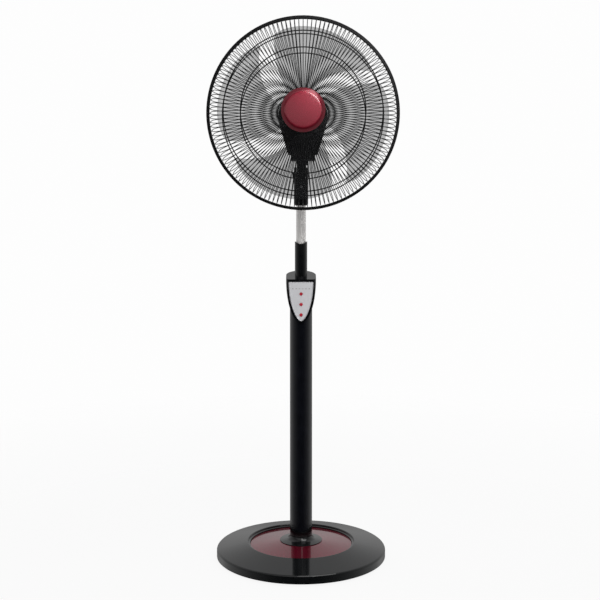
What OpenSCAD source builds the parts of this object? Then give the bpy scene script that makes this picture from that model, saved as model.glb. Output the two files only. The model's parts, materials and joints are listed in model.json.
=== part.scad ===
// Pedestal fan: round weighted base, fixed column with a touch-button head,
// telescopic mast, tilting and oscillating motor head, and a domed wire guard.
// Origin: on the floor, on the column axis. +Z is up and the fan blows towards -Y.

/* [Base] */
// Outer diameter of the base
base_d = 412; // [396:1:428]
// Height of the top outer edge of the base
base_edge_z = 24.5; // [23:0.1:28]
// Height of the gloss ring where it meets the recess
ring_top_z = 39.1; // [38:0.1:42]
// Radius of the recess edge in the gloss ring
ring_in_r = 129; // [124:1:134]
// Wall of the base cover
cover_t = 2.5; // [2:0.1:3]
// Thickness of the painted disc in the recess
disc_t = 2; // [1.5:0.1:2.5]
// Depth from the ring edge down to the rim of the disc
disc_drop = 7.1; // [6:0.1:8]
// Rise of the disc from its rim to its flat middle
disc_rise = 7.9; // [6:0.1:9]
// Distance from the edge of the base in to the edge of the ballast plate
ballast_in = 26; // [22:1:34]
// Steel ballast plate thickness
ballast_t = 5; // [4:0.5:6]
// Height of the rubber feet below the ballast plate
foot_h = 8.5; // [8:0.5:10]
// Diameter of one rubber foot
foot_d = 28; // [22:1:34]
// Number of rubber feet
foot_n = 5; // [4:1:8]
// Distance from the edge of the ballast plate in to the middle of a foot
foot_in = 20; // [18:1:30]
// Diameter of the centre bolt
bolt_d = 10; // [8:1:12]

/* [Column] */
// Outer diameter of the column tube
column_d = 54; // [51:0.5:56]
// Wall of the column tube
column_t = 1.6; // [1.2:0.1:2.2]
// Lowest point of the arched lower edge of the column
column_z0 = 67; // [64:1:76]
// Upper end of the column tube
column_z1 = 617.4; // [570:0.2:660]
// Radius of the arched lower edge
arch_r = 32; // [30:1:40]
// Radius of the collar flange at the foot of the column
collar_r = 51.6; // [48:0.2:54]
// Height of the spigot inside the column above its lower edge
spigot_h = 60; // [50:1:80]

/* [Control head] */
// Width of the control head
head_w = 72; // [68:1:76]
// Distance from the column axis to the front face of the control head
head_front = 34; // [33:0.5:36]
// Height of the shield-shaped front, from its top edge to its tip
shield_h = 104; // [98:0.5:110]
// Height of the top edge of the shield above the column end
shield_up = 65.5; // [60:0.5:70]
// Slope of the top of the control head, in degrees
top_slope = 14; // [8:1:18]
// Wall of the control head shells
shell_t = 2.2; // [1.8:0.1:2.6]
// Width of the gloss frame round the panel
frame_w = 6.5; // [5:0.5:8]
// Thickness of the panel plate
panel_t = 1.2; // [1:0.1:1.5]
// Depth of the panel below the frame
panel_sink = 1; // [0.6:0.1:1.4]
// Diameter of a push button
button_d = 10; // [8:0.5:11]
// Height of a button above the panel
button_proud = 1.3; // [1:0.1:2]
// Travel of a push button
button_travel = 0.8; // [0.5:0.1:0.9]
// Height of the highest button below the top of the shield
button_z1 = 35; // [33:0.1:38]
// Spacing of the buttons
button_pitch = 25.2; // [20:0.1:26]
// Number of indicator lights
led_n = 6; // [3:1:7]
// Spacing of the indicator lights
led_pitch = 7.8; // [4:0.2:8]
// Diameter of an indicator light
led_d = 1.5; // [1:0.1:2]
// Thickness of the circuit board
board_t = 1; // [0.8:0.1:1.2]

/* [Mast] */
// Outer diameter of the fixed sleeve
sleeve_d = 29.8; // [28.8:0.2:31]
// Wall of the fixed sleeve
sleeve_t = 1.5; // [1.2:0.1:1.8]
// Height of the sleeve top above the column end
sleeve_up = 156.3; // [140:0.1:170]
// Depth of the scooped mouth of the sleeve
scoop = 6.6; // [4:0.1:8]
// Length of the sleeve inside the column
sleeve_in = 206; // [190:1:230]
// Outer diameter of the bright inner tube
inner_d = 23.4; // [22:0.1:23.8]
// Wall of the inner tube
inner_t = 1.2; // [1:0.1:1.5]
// Length of bright tube that shows between the sleeve and the neck post
bright_len = 85.7; // [70:0.1:110]
// Length of the inner tube inside the sleeve
inner_in = 255; // [240:1:270]
// Outer diameter of the neck post
post_d = 34.5; // [33:0.5:38]
// Length of the neck post from its lower end to the top of its ears
post_h = 92; // [84:1:100]
// Height of the tilt axis above the lower end of the neck post
tilt_up = 74; // [68:0.5:78]
// Width of the tongue between the ears
tongue_w = 20.6; // [18:0.2:21]
// Diameter of the tilt bolt
tilt_bolt_d = 8; // [6:0.5:8]

/* [Motor head] */
// Height of the blade axis above the tilt axis
axis_up = 134.2; // [131:0.1:140]
// Sideways offset of the blade axis from the column axis
axis_x = 4.5; // [0:0.5:6]
// Radius of the motor housing
motor_r = 58.5; // [55:0.5:62]
// Wall of the motor housing
motor_wall = 2.5; // [2:0.1:3]
// Depth of the motor housing behind the swivel axis
motor_back = 84; // [78:1:92]
// Half width of the trunk where it meets the swivel base
trunk_half = 36; // [34:0.5:40]
// Height of the swivel base above the tilt axis
base_up = 35; // [35:0.1:38]
// Height of the swivel base block
swivel_base_h = 15.5; // [13:0.5:16]
// Width of the swivel base block
swivel_base_w = 58; // [52:0.5:62]
// Diameter of the swivel pin
pin_d = 12; // [10:0.5:14]
// Diameter of the motor shaft
shaft_d = 8; // [7:0.5:9]
// Outer radius of the stator
stator_r = 43; // [40:0.5:46]
// Radius of the rotor
rotor_r = 23; // [20:0.5:25]
// Air gap between rotor and stator
air_gap = 0.4; // [0.3:0.05:0.8]
// Length of the stator stack
stack_l = 28; // [22:1:32]

/* [Guard] */
// Outer diameter of the guard band
guard_d = 440; // [430:1:456]
// Radial depth of the guard band
band_w = 6.5; // [6:0.1:7]
// Axial width of the guard band
band_l = 13.6; // [13:0.1:16]
// Distance of the guard band in front of the swivel axis
band_front = 130; // [126:1:136]
// Number of wires in each guard
wire_n = 132; // [96:12:132]
// Diameter of the radial wires
wire_d = 1.7; // [1.4:0.1:1.8]
// Diameter of the reinforcing rings
ring_d = 2.6; // [2:0.1:3]
// Diameter of the end rings inside the band
end_ring_d = 4.4; // [3.8:0.1:4.8]
// Radius of the flat middle of the front guard
front_flat_r = 124.5; // [118:0.5:130]
// Radius of the flat middle of the rear guard
rear_flat_r = 118; // [112:0.5:126]
// Distance that the front guard stands in front of its rim
front_depth = 70.9; // [68:0.1:74]
// Distance that the rear guard stands behind its rim
rear_depth = 76.2; // [73:0.1:79]
// Slope of the front guard's shoulder, in degrees
front_slope = 22; // [20:1:24]
// Slope of the rear guard's shoulder, in degrees
rear_slope = 33; // [31:1:34]
// Slope of the wires at the rim, in degrees
wire_sweep = 78; // [76:1:80]
// Radius of the bends in the wires
wire_bend_r = 20; // [18:1:22]
// Radius where the front wires start
front_start_r = 45; // [44:0.5:46]
// Radius where the rear wires start
rear_start_r = 45; // [44:0.5:46]
// Radius of the inner front reinforcing ring
front_ring_in_r = 138.7; // [134:0.1:144]
// Distance of the outer front reinforcing ring inside the ends of the wires
front_ring_gap = 34.1; // [32:0.1:38]
// Radius of the inner rear reinforcing ring
rear_ring_in_r = 146.4; // [140:0.1:152]
// Distance of the outer rear reinforcing ring inside the ends of the wires
rear_ring_gap = 25.6; // [24:0.1:32]
// Thickness of the centre plates
plate_t = 1.2; // [1:0.1:1.6]
// Outer diameter of the centre cap
cap_d = 98.4; // [97:0.2:104]
// Diameter of the flat face of the centre cap
cap_face_d = 77; // [70:1:84]
// Height of the centre cap
cap_h = 10; // [9:0.5:14]

/* [Blade] */
// Number of blades
blade_n = 4; // [3:1:5]
// Distance from the blade tips out to the ends of the guard wires
tip_gap = 16.1; // [13:0.1:26]
// Depth of the blades along the axis
blade_depth = 56; // [46:1:60]
// Thickness of the blades
blade_t = 2.2; // [1.8:0.1:2.6]
// Camber of the blades at mid chord
blade_camber = 8; // [4:0.5:10]
// Radius of the blade hub
hub_r = 31; // [28:0.5:34]
// Length of the blade hub
hub_l = 66; // [62:1:70]

/* [Hidden] */
$fn = 64;

fit = 0.05;          // radial clearance of a located or running fit
seat = 0.1;          // gap between faces that lie on each other
play = 0.3;          // gap between parts that move past each other
eps = 0.01;          // overshoot of a cut through a face

// Heights and depths that follow from the driving dimensions
base_r = base_d / 2;
cover_z0 = foot_h - 3;
ballast_r = base_r - ballast_in;
foot_ring_r = ballast_r - foot_in;
ballast_z1 = foot_h + ballast_t;
disc_edge_z = ring_top_z - disc_drop;
disc_top_z = disc_edge_z + disc_rise;
recess_r = ring_in_r - 4.4;
floor_z = disc_top_z - disc_t;
column_r = column_d / 2;
column_in_r = column_r - column_t;
spigot_r = column_in_r - fit;
neck_z = disc_top_z + 15;
collar_floor_z = disc_top_z + 18;
arch_z = column_z0 + arch_r;
spigot_z1 = column_z0 + spigot_h;
bolt_head_h = 6;
nut_h = 8;

shield_z1 = column_z1 + shield_up;
panel_back = head_front - panel_sink - panel_t;
board_back = column_r + 1.1;
board_front = board_back + board_t;
panel_margin_top = 5.9;
panel_margin_tip = frame_w / 2;
frame_round = 1;     // how full the sides of the shield are; a smaller number is fuller
panel_round = 1.2;
button_flange = 0.8;
switch_top = panel_back - 0.8 - button_travel - 0.1;
head_back_z = shield_z1 + (head_front + head_w / 2) * tan(top_slope);
button_zs = [for (i = [0:2]) shield_z1 - button_z1 - i * button_pitch];
led_z = shield_z1 - button_z1 + 12.4;

sleeve_r = sleeve_d / 2;
sleeve_in_r = sleeve_r - sleeve_t;
sleeve_z0 = column_z1 - sleeve_in;
sleeve_z1 = column_z1 + sleeve_up;
scoop_r = (sleeve_r * sleeve_r + scoop * scoop) / (2 * scoop);
lock_z = sleeve_z1 - 32;
inner_r = inner_d / 2;
inner_z0 = sleeve_z1 - inner_in;
post_z0 = sleeve_z1 + bright_len;
post_r = post_d / 2;
tilt_z = post_z0 + tilt_up;
tongue_r = 13;
slot_z = tilt_z - tongue_r - 1.5;
inner_z1 = slot_z - 3;
ear_top_z = post_z0 + post_h;

swivel_z = tilt_z + base_up;
trunk_z = swivel_z + swivel_base_h;
axis_z = tilt_z + axis_up;
pin_z1 = trunk_z + 10;

// Depths on the head are measured forwards (towards -Y) from the swivel axis
guard_r = guard_d / 2;
band_in_r = guard_r - band_w;
groove_r = guard_r - 2.4;
band_lip = 1.4;
end_ring_r = groove_r - end_ring_d / 2 - 0.2;
wire_end_r = end_ring_r - end_ring_d / 2 - wire_d / 2 - fit;
tip_r = wire_end_r - tip_gap;
end_ring_gap = band_l / 2 - band_lip - end_ring_d / 2 - fit;
front_ring_r = [front_ring_in_r, wire_end_r - front_ring_gap];
rear_ring_r = [rear_ring_in_r, wire_end_r - rear_ring_gap];
front_end_f = band_front + end_ring_gap;
rear_end_f = band_front - end_ring_gap;
front_flat_f = front_end_f + front_depth;
rear_flat_f = rear_end_f - rear_depth;
rear_plate_f = rear_flat_f - wire_d / 2 - fit;
motor_front_f = rear_plate_f - plate_t;
front_plate_f = front_flat_f - wire_d / 2 - fit;
cap_f = front_flat_f + wire_d / 2 + seat;
split_f = 10;
trunk_front_f = 30;
trunk_back_f = -50;

spout_r = 17;
spout_l = 12;
spout_bore_r = 10;
nut_f = rear_plate_f + seat;
guard_nut_l = 9;
bracket_f = split_f + 12;
stack_f = split_f + 2;
bearing_r = 8;
bearing_l = 10;
shaft_r = shaft_d / 2;
hub_front_f = band_front + blade_depth / 2 + 8;
blade_nut_l = 20;
shaft_f0 = stack_f - stack_l - 25;
shaft_f1 = hub_front_f + 14;
blade_mid_f = band_front - 1;
cap_screw_r = 30;
cap_screw_l = 7;

swing_y = 22;
swing_r = 21;
swing_l = 17;
crank_r = 11;
crank_throw = 7;
crank_z = trunk_z + 14;
swing_z = crank_z + 5;

// Points of an arc about c, from angle a0 to a1
function arc(c, r, a0, a1, n = 6) =
    [for (i = [0:n]) let (a = a0 + (a1 - a0) * i / n) c + r * [cos(a), sin(a)]];
// Slope of the gloss ring, in degrees
ring_slope = atan2(ring_top_z - base_edge_z, base_r - ring_in_r);

// Turns a shape whose axis is +Z so that it points forwards from the blade axis
module on_blade_axis(f = 0) {
    translate([axis_x, -f, axis_z]) rotate([90, 0, 0]) children();
}

// A ring with a plain bore, standing on z
module tube(r_out, r_in, z0, z1) {
    translate([0, 0, z0]) difference() {
        cylinder(r = r_out, h = z1 - z0);
        translate([0, 0, -1]) cylinder(r = r_in, h = z1 - z0 + 2);
    }
}

// A cylinder from z0 to z1
module rod(r, z0, z1) {
    translate([0, 0, z0]) cylinder(r = r, h = z1 - z0);
}

// Copies on a circle
module around(n, r, a0 = 0) {
    for (i = [0:n - 1]) rotate([0, 0, a0 + i * 360 / n]) translate([r, 0, 0]) children();
}

// ---------------------------------------------------------------- base

foot_a0 = 90;
screw_r = foot_ring_r - 10;
screw_a0 = foot_a0 + 180 / foot_n;
screw_shank_r = 1.75;
screw_head_r = 3.8;
screw_head_h = 2.4;
screw_reach = 11;
screw_boss_r = 4.5;

// Section of the cover: the gloss ring, the recess and the boss round the bolt
module cover_section() {
    edge_r = 5;
    lip_r = 2.5;
    step = 2.2;
    polygon(concat(
        [[base_r, cover_z0]],
        arc([base_r - edge_r, base_edge_z - edge_r * (1 - sin(ring_slope)) / cos(ring_slope)],
            edge_r, 0, 90 - ring_slope),
        arc([ring_in_r + lip_r, ring_top_z - lip_r], lip_r, 90 - ring_slope, 180),
        [[ring_in_r, ring_top_z - lip_r - 1], [ring_in_r - step, ring_top_z - lip_r - 1.6],
         [recess_r, ring_top_z - lip_r - 2.4], [recess_r, disc_edge_z - disc_t],
         [collar_r + 1, floor_z], [bolt_d / 2 + 1, floor_z],
         [bolt_d / 2 + 1, ballast_z1], [22, ballast_z1], [22, floor_z - cover_t],
         [collar_r + 1, floor_z - cover_t], [recess_r, disc_edge_z - disc_t - cover_t],
         [recess_r + cover_t, disc_edge_z - disc_t - cover_t],
         [recess_r + cover_t, ring_top_z - lip_r - 2.4 - cover_t],
         [ring_in_r + lip_r, ring_top_z - cover_t - 1],
         [base_r - cover_t, base_edge_z - cover_t], [base_r - cover_t, cover_z0]]));
}

module base_cover() {
    boss_top = base_edge_z + (base_r - screw_r - 4) * tan(ring_slope) - 1;
    color("#1a1b1d") difference() {
        union() {
            rotate_extrude($fn = 180) cover_section();
            around(foot_n, screw_r, screw_a0) rod(screw_boss_r, ballast_z1, boss_top);
        }
        around(foot_n, screw_r, screw_a0)
            rod(screw_shank_r + fit, ballast_z1 - 1, ballast_z1 + screw_reach + 1);
        translate([0, base_r, grommet_z]) rotate([90, 0, 0])
            cylinder(r = grommet_r, h = 4 * cover_t, center = true);
    }
}

module base_disc() {
    edge_r = recess_r - 0.4;
    color("#5a0a12") rotate_extrude($fn = 180) polygon([
        [edge_r, disc_edge_z - disc_t + seat], [edge_r, disc_edge_z - 0.6],
        [edge_r - 0.6, disc_edge_z], [collar_r + 1, disc_top_z], [bolt_d / 2 + 1, disc_top_z],
        [bolt_d / 2 + 1, floor_z + seat], [collar_r + 1, floor_z + seat]]);
}

module base_weight() {
    color("#3a3c3e") difference() {
        tube(ballast_r, bolt_d / 2 + fit, foot_h, ballast_z1);
        around(foot_n, foot_ring_r, foot_a0) rod(4, foot_h - 1, ballast_z1 + 1);
        around(foot_n, screw_r, screw_a0) rod(screw_shank_r + fit, foot_h - 1, ballast_z1 + 1);
    }
}

module base_feet() {
    color("#202020") around(foot_n, foot_ring_r, foot_a0) rotate_extrude() polygon([
        [0, 0], [foot_d / 2 - 1.5, 0], [foot_d / 2, 1.5], [foot_d / 2 - 1, foot_h - fit],
        [4 - fit, foot_h - fit], [4 - fit, ballast_z1 + fit], [5.5, ballast_z1 + fit],
        [4, ballast_z1 + 2.5], [0, ballast_z1 + 2.5]]);
}

module base_screws() {
    color("#8a8d90") around(foot_n, screw_r, screw_a0) {
        rod(screw_head_r, foot_h - screw_head_h, foot_h - fit);
        rod(screw_shank_r, foot_h - 1, ballast_z1 + screw_reach);
    }
}

module base_bolt() {
    washer_z = foot_h - 1.5;
    color("#8a8d90") {
        rod(14, washer_z, foot_h - fit);
        rod(bolt_d / 2, washer_z - 1, collar_floor_z + nut_h + 2);
        translate([0, 0, washer_z - bolt_head_h + 0.01]) cylinder(r = 9, h = bolt_head_h, $fn = 6);
    }
}

module collar_nut() {
    color("#8a8d90") translate([0, 0, collar_floor_z + seat]) difference() {
        cylinder(r = bolt_d * 0.9, h = nut_h, $fn = 6);
        translate([0, 0, -1]) cylinder(r = bolt_d / 2 + fit, h = nut_h + 2);
    }
}

// The rounded end of the column, seen from the front
module arch_cylinder(r) {
    translate([0, 0, arch_z]) rotate([90, 0, 0]) cylinder(r = r, h = column_d + 20, center = true);
}

module base_collar() {
    flare_r = 11;
    rim_t = 1.6;
    color("#191a1c") difference() {
        union() {
            rotate_extrude($fn = 120) polygon(concat(
                [[0, disc_top_z + seat], [collar_r - 0.5, disc_top_z + seat],
                 [collar_r, disc_top_z + seat + 0.5], [collar_r, disc_top_z + rim_t]],
                arc([column_r + flare_r, neck_z], flare_r, 262, 180, 8),
                [[0, neck_z]]));
            difference() {
                rod(column_r, neck_z - 1, arch_z);
                arch_cylinder(arch_r + seat);
            }
            rod(spigot_r, neck_z - 1, spigot_z1);
        }
        rod(spigot_r - 3, collar_floor_z, spigot_z1 + 1);
        rod(bolt_d / 2 + fit, disc_top_z - 1, collar_floor_z + 1);
    }
}

module column_tube() {
    color("#17181b") difference() {
        tube(column_r, column_in_r, column_z0 - 5, column_z1);
        difference() {
            translate([0, 0, arch_z - arch_r / 2 - 10])
                cube([column_d + 10, column_d + 10, arch_r + 20], center = true);
            arch_cylinder(arch_r);
        }
    }
}

grommet_z = cover_z0 + 9;
grommet_r = 5.5;

module cord_grommet() {
    lip = 1.5;
    color("#202020") translate([0, base_r, grommet_z]) rotate([-90, 0, 0]) difference() {
        union() {
            translate([0, 0, 0.15]) cylinder(r = grommet_r + 1.5, h = lip);
            translate([0, 0, -cover_t - lip]) cylinder(r = grommet_r - fit, h = cover_t + lip + 1);
            translate([0, 0, -cover_t - lip - 1]) cylinder(r = grommet_r + 1, h = 0.8 + lip / 2);
        }
        translate([0, 0, -20]) cylinder(r = 3.5, h = 40);
    }
}

// ---------------------------------------------------------------- fixed sleeve

// Plug that closes the column and carries the sleeve
module column_plug() {
    color("#202124") difference() {
        union() {
            rod(spigot_r, column_z1 - 40, column_z1);
            rod(column_r - 0.2, column_z1 + seat, column_z1 + 4);
            rod(spigot_r, column_z1 - 1, column_z1 + 1);
        }
        rod(sleeve_r + fit, column_z1 - 41, column_z1 + 5);
    }
}

module sleeve_spacer() {
    color("#202124") tube(spigot_r, sleeve_r + fit, sleeve_z0 + 4, sleeve_z0 + 24);
}

module scoop_cut() {
    translate([0, 0, sleeve_z1 - scoop + scoop_r]) rotate([90, 0, 0])
        cylinder(r = scoop_r, h = sleeve_d + 10, center = true, $fn = 96);
}

module lock_hole(r) {
    translate([0, 0, lock_z]) rotate([-90, 0, 0]) cylinder(r = r, h = sleeve_d);
}

lock_boss_r = 8;
lock_boss_y = sleeve_r + 6;
lock_screw_r = 3;

module sleeve_tube() {
    color("#17181b") difference() {
        union() {
            rod(sleeve_r, sleeve_z0, sleeve_z1);
            translate([0, 0, lock_z]) rotate([-90, 0, 0]) cylinder(r = lock_boss_r, h = lock_boss_y);
        }
        rod(sleeve_in_r, sleeve_z0 - 1, sleeve_z1 + 1);
        lock_hole(lock_screw_r + fit);
        scoop_cut();
    }
}

module sleeve_bush() {
    color("#26272a") difference() {
        tube(sleeve_in_r - fit, inner_r + fit, sleeve_z1 - 62, sleeve_z1 - scoop - 0.5);
        lock_hole(lock_screw_r + fit);
    }
}

module height_lock_knob() {
    knob_r = 13;
    knob_l = 15;
    color("#1a1b1d") translate([0, 0, lock_z]) rotate([-90, 0, 0]) {
        translate([0, 0, inner_r + seat])
            cylinder(r = lock_screw_r, h = lock_boss_y - inner_r + 2);
        translate([0, 0, lock_boss_y + play]) difference() {
            rotate_extrude() polygon(concat([[0, 0], [knob_r - 4, 0]],
                arc([knob_r - 2, 5], 2, -30, 0, 2), arc([knob_r - 2.5, knob_l - 2.5], 2.5, 0, 90, 5),
                [[0, knob_l]]));
            around(6, knob_r + 2.6) translate([0, 0, 3]) cylinder(r = 4, h = knob_l, $fn = 32);
        }
    }
}

// ---------------------------------------------------------------- control head

// Half width of the shield at height t (0 at its tip, 1 at its top)
function shield_half(t, half, round) = half * pow(sin(acos(1 - t)), round);

// Outline of the shield, its top edge at y = 0 and its tip downwards
module shield(half, h, round, n = 18) {
    ts = [for (i = [0:n]) 1 - cos(90 * i / n)];
    polygon(concat([for (t = ts) [shield_half(t, half, round), h * (t - 1)]],
                   [for (i = [n:-1:1]) [-shield_half(ts[i], half, round), h * (ts[i] - 1)]]));
}

// Stands a front-view outline up between two depths in front of the column axis
module front_view(f0, f1, z) {
    translate([0, -f0, z]) rotate([90, 0, 0]) linear_extrude(height = f1 - f0) children();
}

panel_half = head_w / 2 - frame_w;
panel_h = shield_h - panel_margin_top - panel_margin_tip;
panel_z1 = shield_z1 - panel_margin_top;

// Whole outer form of the control head
module head_form(in = 0) {
    half = head_w / 2 - in;
    corner = 9;
    intersection() {
        union() {
            front_view(-head_w, head_front - in, shield_z1 - eps)
                shield(half, shield_h - in * 1.4, frame_round);
            translate([-half, -head_front + in, shield_z1 - 1])
                cube([2 * half, head_front + head_w, head_back_z - shield_z1 + 10]);
        }
        translate([0, 0, shield_z1 - shield_h - 5]) union() {
            cylinder(r = half, h = shield_h * 2, $fn = 96);
            translate([-half + corner, -head_front + in, 0])
                cube([2 * (half - corner), head_front, shield_h * 2]);
            translate([-half, -head_front + in + corner, 0])
                cube([2 * half, head_front - in - corner, shield_h * 2]);
            for (s = [-1, 1]) translate([s * (half - corner), -head_front + in + corner, 0])
                cylinder(r = corner, h = shield_h * 2, $fn = 48);
        }
        translate([0, -head_front, shield_z1 - in]) rotate([top_slope, 0, 0])
            translate([-head_w, -head_w, -3 * shield_h]) cube([2 * head_w, 4 * head_w, 3 * shield_h]);
    }
}

// Space inside the two shells, above the column
module head_cavity() {
    intersection() {
        head_form(shell_t);
        translate([-head_w, -panel_back + 2.5, column_z1 + 6])
            cube([2 * head_w, 2 * head_w, shield_h * 2]);
    }
}

module head_bores() {
    rod(column_r + fit, 0, column_z1 + 4.2);
    rod(sleeve_r + fit, column_z1, sleeve_z1);
}

module shell_screw_places() {
    for (s = [-1, 1], z = [column_z1 + 16, column_z1 + 52])
        translate([s * 24, 0, z]) rotate([-90, 0, 0]) children();
}

module control_front_shell() {
    color("#191a1d") difference() {
        intersection() {
            head_form();
            translate([-head_w, -2 * head_w, 0]) cube([2 * head_w, 2 * head_w, 2 * column_z1]);
        }
        difference() {
            head_cavity();
            shell_screw_places() translate([0, 0, -14]) cylinder(r = 4, h = 20);
        }
        head_bores();
        front_view(panel_back - seat, head_front + 1, panel_z1)
            shield(panel_half + seat, panel_h + seat, panel_round);
        front_view(board_back, head_front, panel_z1 - 2) shield(panel_half - 3, panel_h - 7, panel_round);
        for (z = button_zs) front_view(board_back, head_front, z)
            circle(r = button_d / 2 + button_flange + fit, $fn = 48);
        shell_screw_places() translate([0, 0, -11]) cylinder(r = 1.5 + fit, h = 30);
    }
}

module control_rear_shell() {
    color("#191a1d") difference() {
        intersection() {
            head_form();
            translate([-head_w, seat, 0]) cube([2 * head_w, 2 * head_w, 2 * column_z1]);
        }
        difference() {
            head_cavity();
            shell_screw_places() cylinder(r = 4, h = head_w);
        }
        head_bores();
        shell_screw_places() translate([0, 0, -1]) cylinder(r = 1.5 + fit, h = head_w);
        shell_screw_places() translate([0, 0, 12]) cylinder(r = 3.2, h = head_w);
    }
}

module shell_screws() {
    color("#8a8d90") shell_screw_places() {
        translate([0, 0, 12 + seat]) cylinder(r = 2.9, h = 2);
        translate([0, 0, -9]) cylinder(r = 1.5, h = 22);
    }
}

module control_panel() {
    color("#b9bbc0") difference() {
        front_view(panel_back, panel_back + panel_t, panel_z1) shield(panel_half, panel_h, panel_round);
        for (z = button_zs) front_view(0, head_front, z) circle(r = button_d / 2 + fit, $fn = 48);
        led_places() circle(r = led_d / 2 + fit, $fn = 16);
    }
}

module led_places() {
    for (i = [0:led_n - 1]) front_view(0, head_front, led_z)
        translate([(i - (led_n - 1) / 2) * led_pitch, 0]) children();
}

module circuit_board() {
    color("#1f5a35") union() {
        front_view(board_back + seat, board_front, panel_z1 - 4)
            shield(panel_half - 4, panel_h - 12, panel_round);
        front_view(board_front - eps, board_front + 1, shield_z1 - 13)
            translate([-13, -3]) square([6, 6]);
        front_view(board_front - eps, board_front + 1, shield_z1 - 13)
            translate([6, -3]) square([8, 5]);
    }
}

module button_switches() {
    color("#303134") for (z = button_zs)
        front_view(board_front + fit, switch_top, z) translate([-3, -3]) square([6, 6]);
}

module indicator_lights() {
    color("#d8504e") intersection() {
        translate([-head_w, -(panel_back + panel_t + 0.2), 0])
            cube([2 * head_w, panel_back + panel_t + 0.2 - board_front - fit, 2 * shield_z1]);
        led_places() circle(r = led_d / 2, $fn = 16);
    }
}

// Push button with a flange that rests behind the panel
module push_button(z) {
    top = panel_back + panel_t + button_proud;
    color("#c4303c") translate([0, 0, z]) rotate([90, 0, 0]) rotate_extrude($fn = 48)
        polygon(concat(
            [[0, panel_back - seat - 0.7], [button_d / 2 + button_flange, panel_back - seat - 0.7],
             [button_d / 2 + button_flange, panel_back - seat], [button_d / 2, panel_back - seat]],
            arc([button_d / 2 - 0.8, top - 0.8], 0.8, 0, 80, 4), [[0, top + 0.1]]));
}

module power_button() { push_button(button_zs[0]); }
module speed_button() { push_button(button_zs[1]); }
module swing_button() { push_button(button_zs[2]); }

// ---------------------------------------------------------------- sliding mast

module inner_tube() {
    color("#c9c9cb") difference() {
        tube(inner_r, inner_r - inner_t, inner_z0, inner_z1);
        neck_screw_hole(1.75 + fit);
    }
}

module tube_end_plug() {
    color("#26272a") {
        rod(sleeve_in_r - fit, inner_z0 - 6, inner_z0 - seat);
        rod(inner_r - inner_t - fit, inner_z0 - 1, inner_z0 + 16);
    }
}

neck_screw_z = post_z0 + post_h * 0.49;

module neck_screw_hole(r) {
    translate([0, 0, neck_screw_z]) rotate([90, 0, 0]) cylinder(r = r, h = post_d);
}

module neck_post() {
    round_r = 5;
    slot_w = tongue_w + 2 * play;
    color("#191a1c") difference() {
        union() {
            translate([0, 0, post_z0]) rotate_extrude() polygon(concat([[0, 0]],
                arc([post_r - round_r, round_r], round_r, -90, 0), [[post_r, slot_z - post_z0 + 6],
                [0, slot_z - post_z0 + 6]]));
            intersection() {
                rod(post_r, slot_z, ear_top_z);
                union() {
                    translate([0, 0, tilt_z]) rotate([0, 90, 0])
                        cylinder(r = ear_top_z - tilt_z, h = 2 * post_d, center = true);
                    translate([-post_d, -post_d, slot_z]) cube([2 * post_d, 2 * post_d, tilt_z - slot_z]);
                }
            }
        }
        rod(inner_r + fit, post_z0 - 1, inner_z1 + seat);
        translate([-slot_w / 2, -post_d, slot_z]) cube([slot_w, 2 * post_d, post_h]);
        translate([0, 0, tilt_z]) rotate([0, 90, 0])
            cylinder(r = tilt_bolt_d / 2 + fit, h = 2 * post_d, center = true);
        translate([tilt_nut_x, 0, tilt_z]) rotate([0, 90, 0])
            cylinder(r = tilt_nut_r + 0.2, h = post_d, $fn = 6);
        translate([-bolt_seat_x, 0, tilt_z]) rotate([0, -90, 0]) cylinder(r = 6.7, h = post_d);
        neck_screw_hole(1.75 + fit);
        translate([0, -post_r + 1.5, neck_screw_z]) rotate([90, 0, 0]) cylinder(r = 3.6, h = post_d);
    }
}

module neck_screw() {
    color("#a0a2a5") translate([0, 0, neck_screw_z]) rotate([90, 0, 0]) {
        translate([0, 0, post_r - 1.5 + fit]) cylinder(r = 3.4, h = 1.8);
        translate([0, 0, inner_r - inner_t - 2]) cylinder(r = 1.75, h = post_r - inner_r + inner_t + 1);
    }
}

tilt_nut_x = tongue_w / 2 + play + 3;
tilt_nut_r = 6.8;
bolt_seat_x = post_r - 1.8;

module tilt_bolt() {
    color("#2a2b2e") translate([0, 0, tilt_z]) rotate([0, 90, 0]) {
        translate([0, 0, -post_r - 3.5]) cylinder(r = 6.5, h = post_r + 3.5 - bolt_seat_x - fit);
        translate([0, 0, -post_r]) cylinder(r = tilt_bolt_d / 2, h = 2 * post_r + 1.2);
    }
}

module tilt_nut() {
    color("#8a8d90") translate([tilt_nut_x + fit, 0, tilt_z]) rotate([0, 90, 0]) difference() {
        cylinder(r = tilt_nut_r, h = 5, $fn = 6);
        translate([0, 0, -1]) cylinder(r = tilt_bolt_d / 2 + fit, h = 8);
    }
}

// ---------------------------------------------------------------- tilting bracket

module tilt_bracket() {
    color("#191a1c") difference() {
        union() {
            translate([0, 0, tilt_z]) rotate([0, 90, 0])
                cylinder(r = tongue_r, h = tongue_w, center = true);
            translate([-tongue_w / 2, -tongue_r, tilt_z])
                cube([tongue_w, 2 * tongue_r, swivel_z - tilt_z - play]);
            translate([0, -tongue_r + 4, ear_top_z + 5])
                cube([post_r, tongue_r * 2 - 8, swivel_z - ear_top_z - 5 - play]);
        }
        translate([0, 0, tilt_z]) rotate([0, 90, 0])
            cylinder(r = tilt_bolt_d / 2 + fit, h = 2 * post_d, center = true);
        rod(pin_d / 2 + fit, tilt_z + 10, swivel_z);
    }
}

module swivel_pin() {
    color("#b0b2b5") {
        rod(pin_d / 2, tilt_z + 10 + seat, pin_z1);
        rod(pin_d / 2 + 3, trunk_z + 1.6 + play, trunk_z + 3.6 + play);
    }
}

// ---------------------------------------------------------------- swivelling head

bush_r = pin_d / 2 + 2;

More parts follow.
